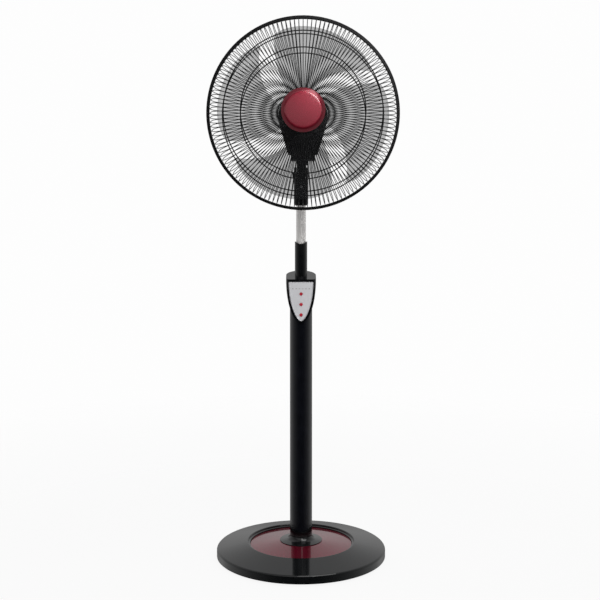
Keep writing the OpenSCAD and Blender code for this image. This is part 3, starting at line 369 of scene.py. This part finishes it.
def smoke_plastic(name):
    """Clear smoke-grey styrene of the blades, seen through two thin skins."""
    s = Shader(name, (0.035, 0.036, 0.038), 0.10)
    s.vary("Alpha", 7, 5, 0.32, 0.37)
    s.mottle(11, 4, (0.03, 0.031, 0.033), (0.042, 0.043, 0.046), (0.3, 0.75))
    s.vary("Roughness", 16, 4, 0.07, 0.14)
    s.set("Specular IOR Level", 0.12)
    return s.material


def board_material(name):
    """Green lacquer of a circuit board, uneven over its tracks."""
    s = Shader(name, (0.02, 0.16, 0.07), 0.35)
    _, tracks = s.voronoi(420)
    s.link(s.ramp(tracks, [(0.2, (0.012, 0.10, 0.045)), (0.6, (0.03, 0.20, 0.09))]), "Base Color")
    s.bump(s.noise(800, 2), 0.03 * MM, 0.4)
    return s.material


def copper_winding(name):
    """Lacquered copper with the lines of its turns."""
    s = Shader(name, (0.55, 0.24, 0.10), 0.32, 0.9)
    turns = s.noise(1.0, 3, stretch=(60, 900, 60))
    s.link(s.ramp(turns, [(0.3, (0.38, 0.15, 0.06)), (0.7, (0.62, 0.29, 0.12))]), "Base Color")
    s.bump(turns, 0.2 * MM, 0.6)
    return s.material


MATERIALS = {
    "base_gloss": gloss_black("base_gloss", (0.0035, 0.004, 0.0045), 0.06),
    "disc_red": metallic_red("disc_red", (0.115, 0.0005, 0.009), (0.28, 0.002, 0.040), 0.32,
                             metallic=0.5, coat_ior=1.48),
    "ballast_steel": paint_black("ballast_steel", (0.02, 0.02, 0.021), 0.42),
    "foot_rubber": rubber("foot_rubber"),
    "fastener_steel": bare_metal("fastener_steel", (0.56, 0.56, 0.57), 0.3),
    "collar_black": gloss_black("collar_black", (0.0035, 0.004, 0.0045), 0.10),
    "column_black": paint_black("column_black", (0.0038, 0.0042, 0.0062), 0.08),
    "inner_plastic": satin_black("inner_plastic", (0.02, 0.02, 0.021), 0.5),
    "sleeve_black": paint_black("sleeve_black", (0.003, 0.0035, 0.0042), 0.10),
    "head_gloss": gloss_black("head_gloss", (0.0032, 0.0034, 0.0045), 0.04),
    "panel_silver": silver_paint("panel_silver"),
    "trim_silver": bare_metal("trim_silver", (0.86, 0.86, 0.88), 0.3, metallic=0.5, stain=0.93),
    "board_green": board_material("board_green"),
    "switch_black": satin_black("switch_black", (0.02, 0.02, 0.02), 0.45),
    "light_red": red_plastic("light_red", (0.22, 0.17, 0.18), 0.12),
    "button_red": red_plastic("button_red"),
    "knob_black": satin_black("knob_black", (0.012, 0.012, 0.013), 0.42),
    "tube_chrome": chrome("tube_chrome"),
    "neck_black": satin_black("neck_black", (0.004, 0.0042, 0.005), 0.32, gloss=0.12),
    "bolt_black": bare_metal("bolt_black", (0.05, 0.05, 0.055), 0.35),
    "pin_steel": bare_metal("pin_steel", (0.60, 0.60, 0.61), 0.22),
    "housing_black": satin_black("housing_black", (0.003, 0.0032, 0.0042), 0.34, gloss=0.12),
    "bronze": bare_metal("bronze", (0.50, 0.33, 0.14), 0.4),
    "core_steel": bare_metal("core_steel", (0.26, 0.26, 0.27), 0.5),
    "copper": copper_winding("copper"),
    "cast_metal": bare_metal("cast_metal", (0.50, 0.50, 0.51), 0.45),
    "guard_wire": satin_black("guard_wire", (0.0045, 0.0045, 0.005), 0.28, grain=2200, gloss=0.15),
    "band_black": satin_black("band_black", (0.003, 0.003, 0.0035), 0.30, gloss=0.12),
    "cap_red": metallic_red("cap_red", (0.19, 0.008, 0.020), (0.33, 0.020, 0.045), 0.36,
                            metallic=0.7, coat_ior=1.52, coat_roughness=0.14),
    "blade_smoke": smoke_plastic("blade_smoke"),
}

# Every CAD node is shown in the material that its slot names
SLOT = {row["node"]: row["material_slot"] for row in frame["record"]["subparts"]}
for node, obj in frame["nodes"].items():
    for slot in obj.material_slots:
        slot.material = MATERIALS[SLOT[node]]

# ------------------------------------------------------------------ guard wires

WIRE_R = 0.85 * MM
WIRE_SIDES = 10
WIRE_COUNT = 132
WIRE_START_R = 45 * MM
WIRE_BEND_R = 20 * MM
RIM_SLOPE = math.radians(78)


def wire_bend(r, depth, a0, a1, steps):
    """Points along a bend from slope a0 to slope a1, whose arc would start flat at (r, depth)."""
    angles = (a0 + (a1 - a0) * k / steps for k in range(steps + 1))
    return [(r + WIRE_BEND_R * math.sin(a), depth + WIRE_BEND_R * (1 - math.cos(a))) for a in angles]


def wire_path(flat_r, slope, depth, end_r):
    """Centre line of a wire as (radius, depth) points: flat, bend, shoulder, bend, wall."""
    run = end_r - flat_r - WIRE_BEND_R * math.sin(RIM_SLOPE)
    drop = depth - WIRE_BEND_R * (1 - math.cos(RIM_SLOPE))
    turn = math.sin(RIM_SLOPE - slope)
    shoulder = (run * math.sin(RIM_SLOPE) - drop * math.cos(RIM_SLOPE)) / turn
    second_r = flat_r + shoulder * math.cos(slope)
    second_depth = shoulder * math.sin(slope)
    return ([(WIRE_START_R, 0)]
            + wire_bend(flat_r, 0, 0, slope, 5)
            + wire_bend(second_r, second_depth, slope, RIM_SLOPE, 10)
            + [(end_r, depth)])


def wire_guard(name, node, flat_r, slope, depth, faces_forward):
    """Smooth round radial wires on the paths of the CAD wires."""
    lo, hi = (Vector(p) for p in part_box(node))
    end_r = (hi.x - lo.x) / 2 - WIRE_R * math.sin(RIM_SLOPE)
    flat_y = lo.y + WIRE_R if faces_forward else hi.y - WIRE_R
    back = 1 if faces_forward else -1
    points = wire_path(flat_r, slope, depth, end_r)
    hub = Vector((AXIS_X, flat_y, AXIS_Z))
    bm = bmesh.new()
    for a in full_turn(WIRE_COUNT):
        out = Vector((math.cos(a), 0, math.sin(a)))
        across = Vector((-math.sin(a), 0, math.cos(a)))
        path = [hub + out * r + Vector((0, back * d, 0)) for r, d in points]
        sweep_tube(bm, path, WIRE_R, WIRE_SIDES, across)
    piece = add_piece(name, bm, MATERIALS["guard_wire"], "motor_head", 80)
    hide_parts(node)


wire_guard("front_wires", "front_guard_wires", flat_r=124.5 * MM, slope=math.radians(22),
           depth=70.9 * MM, faces_forward=True)
wire_guard("rear_wires", "rear_guard_wires", flat_r=118 * MM, slope=math.radians(33),
           depth=76.2 * MM, faces_forward=False)

# ------------------------------------------------------------------ blades

BLADE_COUNT = 4
TIP_R = 196 * MM
TIP_ROUND = 11 * MM
BLADE_DEPTH = 56 * MM
BLADE_T = 2.2 * MM
BLADE_CAMBER = 8 * MM
MAX_PITCH = math.radians(66)
EDGE_R = 100 * MM
FRONT_EDGE = (32, -136)  # degrees at EDGE_R, and degrees per metre further out
REAR_EDGE = (-33.3, -290)
THINNEST = 0.25  # at the edges, as a share of BLADE_T
HUB_R = 31 * MM
HUB_LENGTH = 66 * MM
HUB_WALL = 2.4 * MM
HUB_BORE_R = 4.05 * MM
HUB_BOSS_R = 9 * MM
HUB_BOSS_LENGTH = 40 * MM


def edge_angle(r, at_edge_r, sweep):
    """Angle of a blade's edge at radius r, from its degrees at EDGE_R and its sweep per metre."""
    return math.radians(at_edge_r + sweep * (r - EDGE_R))


def blade_surface(s, u, side, mid_y):
    """Point of a blade: s from hub to tip, u from the rear edge to the front edge, side -1 or 1."""
    off_middle = abs(2 * u - 1)
    root = HUB_R - 2 * MM
    r = root + s * (TIP_R - TIP_ROUND * off_middle ** 4 - root)
    front, rear = edge_angle(r, *FRONT_EDGE), edge_angle(r, *REAR_EDGE)
    span = front - rear
    a = (front + rear) / 2 + span * (u - 0.5)
    pitch = min(math.atan2(BLADE_DEPTH, r * span), MAX_PITCH)
    thin = max(1 - off_middle ** 14, THINNEST)
    f = (u - 0.5) * BLADE_DEPTH - BLADE_CAMBER * (1 - (2 * u - 1) ** 2) * (0.4 + 0.6 * s)
    f += side * thin * 0.98 * BLADE_T / 2 / math.cos(pitch)
    return Vector((AXIS_X + r * math.cos(a), mid_y - f, AXIS_Z + r * math.sin(a)))


def turn_about_axis(verts, angle):
    """Turns vertices about the blade axis."""
    rot = Matrix.Translation((AXIS_X, 0, AXIS_Z)) @ Matrix.Rotation(angle, 4, "Y") \
        @ Matrix.Translation((-AXIS_X, 0, -AXIS_Z))
    for v in verts:
        v.co = rot @ v.co


def one_blade(bm, mid_y, rows=40, cols=34):
    """Closed skin of one blade, as a front grid, a rear grid and four narrow sides."""
    rear, front = [[[bm.verts.new(blade_surface(i / rows, j / cols, side, mid_y))
                     for j in range(cols + 1)] for i in range(rows + 1)] for side in (-1, 1)]
    for i in range(rows):
        for j in range(cols):
            bm.faces.new((rear[i][j], rear[i][j + 1], rear[i + 1][j + 1], rear[i + 1][j]))
            bm.faces.new((front[i][j], front[i + 1][j], front[i + 1][j + 1], front[i][j + 1]))
    for i in range(rows):
        bm.faces.new((rear[i][0], rear[i + 1][0], front[i + 1][0], front[i][0]))
        bm.faces.new((rear[i][cols], front[i][cols], front[i + 1][cols], rear[i + 1][cols]))
    for j in range(cols):
        bm.faces.new((rear[0][j], front[0][j], front[0][j + 1], rear[0][j + 1]))
        bm.faces.new((rear[rows][j], rear[rows][j + 1], front[rows][j + 1], front[rows][j]))
    return [v for side in (rear, front) for row in side for v in row]


def fan_blades():
    """Four twisted, cambered blades on a hub that is open at the back."""
    bm = bmesh.new()
    mid_y = BAND_Y + 1 * MM
    for b in range(BLADE_COUNT):
        turn_about_axis(one_blade(bm, mid_y), -2 * math.pi * b / BLADE_COUNT)
    nut_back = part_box("blade_nut")[1][1] + 0.1 * MM
    outer = arc(HUB_R - 3 * MM, -3 * MM, 3 * MM, 90, 0) + [(HUB_R, -HUB_LENGTH)]
    inner = [(HUB_R - HUB_WALL, -HUB_LENGTH)] + arc(HUB_R - 5 * MM, -5 * MM, 5 * MM - HUB_WALL, 0, 90)
    boss = [(HUB_BOSS_R, -HUB_WALL), (HUB_BOSS_R, -HUB_BOSS_LENGTH), (HUB_BORE_R, -HUB_BOSS_LENGTH),
            (HUB_BORE_R, 0)]
    spin_profile(bm, outer + inner + boss, 96, forward(nut_back))
    outside_out(bm)
    piece = add_piece("smoke_blades", bm, MATERIALS["blade_smoke"], "rotor", 50)
    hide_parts("fan_blade")


fan_blades()

# ------------------------------------------------------------------ centre cap

CAP_HEIGHT = 10.4 * MM
CAP_FACE_R = 42.5 * MM
CAP_SAG = 0.9 * MM
CAP_POST_RING = 30 * MM


def in_mm(points):
    """Profile points given in millimetres, in metres."""
    return [(r * MM, z * MM) for r, z in points]


def centre_cap():
    """Softly domed face, wide bevel and short side, hollow behind, on its three posts."""
    lo, hi = (Vector(p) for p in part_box("centre_cap"))
    rim_r = (hi.x - lo.x) / 2
    base_y = lo.y + CAP_HEIGHT
    dome = [(r * MM, CAP_HEIGHT - CAP_SAG * (r * MM / CAP_FACE_R) ** 2)
            for r in (0, 5, 10, 15, 20, 25, 30, 34, 37.5)]
    shoulder = in_mm([(39.4, 9.56), (41, 9.26), (42.3, 8.74), (43.5, 7.9)])
    bevel = in_mm([(47.3, 4.9), (48.3, 4.0), (48.9, 3.2)])
    rim = [(rim_r, 2.5 * MM), (rim_r, 0.5 * MM), (rim_r - 0.5 * MM, 0.0), (rim_r - 2 * MM, 0.0),
           (rim_r - 2 * MM, 2.6 * MM)]
    inside = in_mm([(45, 4), (38, 7), (0, 8)])
    post = in_mm([(1.6, -1.7), (4, -1.7), (4, 8.2), (0, 8.2), (0, 6.5), (1.6, 6.5)])
    bm = bmesh.new()
    spin_profile(bm, dome + shoulder + bevel + rim + inside, 160, forward(base_y), closed=False)
    for k in range(3):
        angle = math.radians(90 + 120 * k)
        spot = forward(base_y, AXIS_X + CAP_POST_RING * math.cos(angle),
                       AXIS_Z + CAP_POST_RING * math.sin(angle))
        spin_profile(bm, post, 24, spot)
    outside_out(bm)
    piece = add_piece("domed_cap", bm, MATERIALS["cap_red"], "motor_head", 50)
    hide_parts("centre_cap")


centre_cap()

# ------------------------------------------------------------------ floor of the neck slot

TONGUE_R = 13 * MM
TONGUE_GAP = 0.35 * MM
SLOT_W = 21.6 * MM
SLOT_DEPTH = 20 * MM
FLOOR_T = 1.7 * MM


def slot_floor():
    """Floor of the post's slot, hollowed to follow the round end of the neck's tongue."""
    pin_lo, pin_hi = (Vector(p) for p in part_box("tilt_bolt"))
    axis_y, axis_z = (pin_lo.y + pin_hi.y) / 2, (pin_lo.z + pin_hi.z) / 2
    half_width, half_depth = SLOT_W / 2, SLOT_DEPTH / 2
    clear_r = TONGUE_R + TONGUE_GAP
    low = axis_z - TONGUE_R - FLOOR_T
    span = math.asin(half_depth / clear_r)
    outline = [(axis_y + clear_r * math.sin(a), axis_z - clear_r * math.cos(a))
               for a in (span * (k / 8 - 1) for k in range(17))]
    outline += [(axis_y + half_depth, low), (axis_y - half_depth, low)]
    bm = bmesh.new()
    left, right = [[bm.verts.new((x, y, z)) for y, z in outline] for x in (-half_width, half_width)]
    bridge(bm, left, right)
    bm.faces.new(list(reversed(left)))
    bm.faces.new(right)
    outside_out(bm)
    piece = add_piece("slot_floor", bm, MATERIALS["neck_black"], "mast", 50)


slot_floor()

# ------------------------------------------------------------------ panel, buttons and indicators

panel_lo, panel_hi = (Vector(p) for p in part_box("control_panel"))
PANEL_Y = panel_lo.y
PANEL_ROUND = 1.2
TRIM_INSET = 1.15
TRIM_SINK = 0.03 * MM
TRIM_SECTION = [(-0.75, 0.0), (-0.62, 0.28), (-0.3, 0.42), (0.3, 0.42), (0.62, 0.28), (0.75, 0.0)]
CIRCLE = 2


def panel_edge(inset, n=40):
    """Closed outline of the shield-shaped panel, moved inwards, as points in its plane."""
    half = (panel_hi.x - panel_lo.x) / 2
    height = panel_hi.z - panel_lo.z
    right = []
    for k in range(n + 1):
        t = 1 - math.cos(math.pi / 2 * k / n)
        width = half * math.sin(math.acos(1 - t)) ** PANEL_ROUND
        right.append(Vector((width, 0, panel_lo.z + height * t)))
    loop = right + [Vector((-p.x, 0, p.z)) for p in reversed(right[1:])]
    moved = []
    count = len(loop)
    for k, point in enumerate(loop):
        along = (loop[(k + 1) % count] - loop[k - 1]).normalized()
        moved.append(point + inset * Vector((-along.z, 0, along.x)))
    return moved


def panel_trim():
    """Thin raised border that runs round the panel. Its section is in millimetres."""
    bm = bmesh.new()
    rings = []
    for across, lift in TRIM_SECTION:
        y = PANEL_Y - lift * MM + TRIM_SINK
        rings.append([bm.verts.new((p.x, y, p.z)) for p in panel_edge((TRIM_INSET + across) * MM)])
    for low, high in zip(rings, rings[1:] + rings[:1]):
        bridge(bm, low, high)
    outside_out(bm)
    piece = add_piece("panel_trim", bm, MATERIALS["trim_silver"], "stand", 60)


def rounded(angle, power):
    """Radius of a superellipse of size 1: power 2 is a circle and 1 a diamond."""
    return (abs(math.cos(angle)) ** power + abs(math.sin(angle)) ** power) ** (-1 / power)


def stacked(bm, centre, layers, n=64):
    """Pad in front of the panel, from layers of (radius, power, lift). A last radius of 0 closes it."""
    rings = []
    for r, power, lift in layers:
        if r == 0:
            rings.append([bm.verts.new(centre + Vector((0, -lift, 0)))])
            continue
        rings.append([bm.verts.new(centre + Vector((r * rounded(a, power) * math.cos(a), -lift,
                                                    r * rounded(a, power) * math.sin(a))))
                      for a in full_turn(n)])
    for low, high in zip(rings, rings[1:]):
        bridge(bm, low, high)
    bm.faces.new(list(reversed(rings[0])))


def push_button(name, node, body):
    """Diamond-shaped key on a round silver seat."""
    lo, hi = (Vector(p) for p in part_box(node))
    centre = Vector(((lo.x + hi.x) / 2, hi.y, (lo.z + hi.z) / 2))
    depth = hi.y - lo.y
    flange_r, seat_r = 5.75 * MM, 4.95 * MM
    face = depth - 1.25 * MM
    bm = bmesh.new()
    stacked(bm, centre, [
        (flange_r, CIRCLE, 0), (flange_r, CIRCLE, 0.7 * MM), (seat_r, CIRCLE, 0.72 * MM),
        (seat_r, CIRCLE, face), (seat_r - 0.25 * MM, CIRCLE, face + 0.25 * MM),
        (3.6 * MM, CIRCLE, face + 0.25 * MM), (3.3 * MM, CIRCLE, face - 0.1 * MM),
        (0, CIRCLE, face - 0.1 * MM)])
    outside_out(bm)
    seat = add_piece(name + "_seat", bm, MATERIALS["trim_silver"], body, 40)
    bm = bmesh.new()
    stacked(bm, centre, [
        (4.1 * MM, 1.35, face - 0.2 * MM), (4.3 * MM, 1.35, face + 0.75 * MM),
        (4.15 * MM, 1.35, depth - 0.3 * MM), (3.8 * MM, 1.4, depth - 0.12 * MM),
        (2.8 * MM, 1.5, depth - 0.04 * MM), (1.4 * MM, 1.8, depth), (0, CIRCLE, depth)])
    outside_out(bm)
    key = add_piece(name + "_key", bm, MATERIALS["button_red"], body, 50)
    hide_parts(node)


def indicator_lenses():
    """Six short lens bars in a row above the buttons, each on a round stem."""
    lo, hi = (Vector(p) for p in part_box("indicator_lights"))
    count, stem_r = 6, 0.75 * MM
    half_bar, end_r = 0.85 * MM, 0.5 * MM
    pitch = (hi.x - lo.x - 2 * stem_r) / (count - 1)
    top = hi.y - PANEL_Y
    bm = bmesh.new()
    for i in range(count):
        centre = Vector((lo.x + stem_r + i * pitch, hi.y, (lo.z + hi.z) / 2))
        stacked(bm, centre, [(stem_r, CIRCLE, 0), (stem_r, CIRCLE, top - 0.05 * MM)], 16)
        rings = []
        for lift, shrink in ((-0.1 * MM, 0), (0.12 * MM, 0), (0.19 * MM, 0.15 * MM)):
            r = end_r - shrink
            rings.append([bm.verts.new(centre + Vector((
                math.copysign(half_bar, math.cos(a)) + r * math.cos(a), -(top + lift),
                r * math.sin(a)))) for a in full_turn(24)])
        for low, high in zip(rings, rings[1:]):
            bridge(bm, low, high)
        bm.faces.new(rings[-1])
        bm.faces.new(list(reversed(rings[0])))
    outside_out(bm)
    piece = add_piece("indicator_lenses", bm, MATERIALS["light_red"], "stand", 50)
    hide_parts("indicator_lights")


panel_trim()
for label in ("power", "speed", "swing"):
    push_button(label, label + "_button", label + "_key")
indicator_lenses()

# ------------------------------------------------------------------ floor, world and lights

WHITE = (0.985, 0.985, 0.985, 1)
FLOOR_GREY = (0.86, 0.86, 0.86, 1)
FLOOR_WHITE_SHARE = 0.92
FLOOR_FADE = (0.7, 2.2)


def seen_by_camera(tree, path):
    """1 for a ray that comes from the camera, also through glass, and 0 for the others."""
    return add_node(tree, "ShaderNodeMath", {
        0: path.outputs["Is Camera Ray"], 1: path.outputs["Is Transmission Ray"]},
        operation="MAXIMUM").outputs[0]


def floor_material():
    """Nearly white with soft shadows to the camera, grey to other rays, absent far off and in gloss."""
    material = bpy.data.materials.new("floor")
    material.use_nodes = True
    tree = material.node_tree
    tree.nodes.clear()
    path = add_node(tree, "ShaderNodeLightPath")
    share = add_node(tree, "ShaderNodeMath",
                     {0: seen_by_camera(tree, path), 1: FLOOR_WHITE_SHARE}, operation="MULTIPLY")
    diffuse = add_node(tree, "ShaderNodeBsdfDiffuse", {"Color": FLOOR_GREY})
    glow = add_node(tree, "ShaderNodeEmission", {"Color": WHITE})
    shown = add_node(tree, "ShaderNodeMixShader",
                     {"Fac": share.outputs[0], 1: diffuse.outputs[0], 2: glow.outputs[0]})
    coords = add_node(tree, "ShaderNodeTexCoord")
    distance = add_node(tree, "ShaderNodeVectorMath", {0: coords.outputs["Object"]},
                        operation="LENGTH")
    fade = add_node(tree, "ShaderNodeMapRange", {
        "Value": distance.outputs["Value"], "From Min": FLOOR_FADE[0], "From Max": FLOOR_FADE[1]})
    absent = add_node(tree, "ShaderNodeMath",
                      {0: fade.outputs["Result"], 1: path.outputs["Is Glossy Ray"]},
                      operation="MAXIMUM")
    clear = add_node(tree, "ShaderNodeBsdfTransparent")
    whole = add_node(tree, "ShaderNodeMixShader",
                     {"Fac": absent.outputs[0], 1: shown.outputs[0], 2: clear.outputs[0]})
    add_node(tree, "ShaderNodeOutputMaterial", {"Surface": whole.outputs[0]})
    return material


def floor():
    """Round floor of the studio, which isn't part of the object."""
    bm = bmesh.new()
    spin_profile(bm, [(0, 0), (1.0, 0), (3.0, 0), (9.0, 0)], 64, Matrix(), closed=False)
    mesh = bpy.data.meshes.new("floor")
    bm.to_mesh(mesh)
    bm.free()
    obj = bpy.data.objects.new("floor", mesh)
    scene.collection.objects.link(obj)
    mesh.materials.append(floor_material())


def world():
    """White to the camera. In reflections, a studio whose tones change with the direction."""
    light = bpy.data.worlds.new("studio")
    scene.world = light
    light.use_nodes = True
    tree = light.node_tree
    tree.nodes.clear()
    coords = add_node(tree, "ShaderNodeTexCoord")
    split = add_node(tree, "ShaderNodeSeparateXYZ", {0: coords.outputs["Generated"]})
    forwards, upwards = split.outputs["Y"], split.outputs["Z"]

    def tone(value, stops):
        """Grey level against a number between -1 and 1."""
        spread = add_node(tree, "ShaderNodeMapRange", {"Value": value, "From Min": -1, "From Max": 1})
        ramp = add_node(tree, "ShaderNodeValToRGB", {"Fac": spread.outputs["Result"]})
        set_ramp(ramp, [((position + 1) / 2, (grey, grey, grey)) for position, grey in stops])
        return ramp.outputs["Color"]

    def math_node(operation, first, second):
        return add_node(tree, "ShaderNodeMath", {0: first, 1: second}, operation=operation).outputs[0]

    def mixed(low, high, first, second):
        """The first tone where the direction's Y is below low, the second where it is above high."""
        share = add_node(tree, "ShaderNodeMapRange",
                         {"Value": forwards, "From Min": low, "From Max": high},
                         interpolation_type="SMOOTHSTEP")
        return add_node(tree, "ShaderNodeMix", {
            "Factor": share.outputs["Result"], "A": first, "B": second}).outputs["Result"]

    round_about = tone(forwards, [
        (-1, 0.012), (-0.9, 0.02), (-0.68, 0.13), (-0.34, 0.33), (-0.12, 0.50), (0.14, 0.72),
        (0.5, 0.82), (1, 0.90)])
    behind = tone(upwards, [
        (-0.3, 0.25), (-0.05, 0.35), (0.1, 0.65), (0.3, 0.88), (0.5, 0.72), (0.7, 0.50), (1, 0.60)])
    above = tone(upwards, [
        (-1, 0.0), (-0.03, 0.0), (0.01, 0.55), (0.05, 0.95), (0.16, 0.95), (0.26, 0.08),
        (0.42, 0.08), (0.58, 1.4), (0.8, 1.4), (1, 1.0)])
    floor_side = tone(upwards, [(-1, 0.1), (-0.6, 0.15), (-0.42, 0.8), (-0.34, 1.0)])
    camera_side = math_node("MULTIPLY", math_node("MAXIMUM", round_about, above), floor_side)
    front = mixed(-0.8, -0.3, camera_side, round_about)
    whole = mixed(0.6, 0.95, front, behind)
    studio = add_node(tree, "ShaderNodeBackground", {"Strength": whole})
    backdrop = add_node(tree, "ShaderNodeBackground", {"Color": WHITE})
    path = add_node(tree, "ShaderNodeLightPath")
    mix = add_node(tree, "ShaderNodeMixShader", {
        "Fac": seen_by_camera(tree, path), 1: studio.outputs[0], 2: backdrop.outputs[0]})
    add_node(tree, "ShaderNodeOutputWorld", {"Surface": mix.outputs[0]})


def softbox(name, place, target, size, power, spread=180):
    """Square area lamp that looks at a target. Its beam is spread degrees wide."""
    data = bpy.data.lights.new(name, "AREA")
    data.shape = "SQUARE"
    data.size = size
    data.energy = power
    data.spread = math.radians(spread)
    obj = bpy.data.objects.new(name, data)
    scene.collection.objects.link(obj)
    obj.location = place
    obj.rotation_euler = (Vector(target) - Vector(place)).to_track_quat("-Z", "Y").to_euler()


floor()
world()
softbox("key", (1.3, -1.6, 3.7), (0, 0, 0.9), size=2.4, power=54)
softbox("glow", (0.5, -2.66, 1.88), (0, 0, 0.96), size=0.6, power=0.85, spread=38)
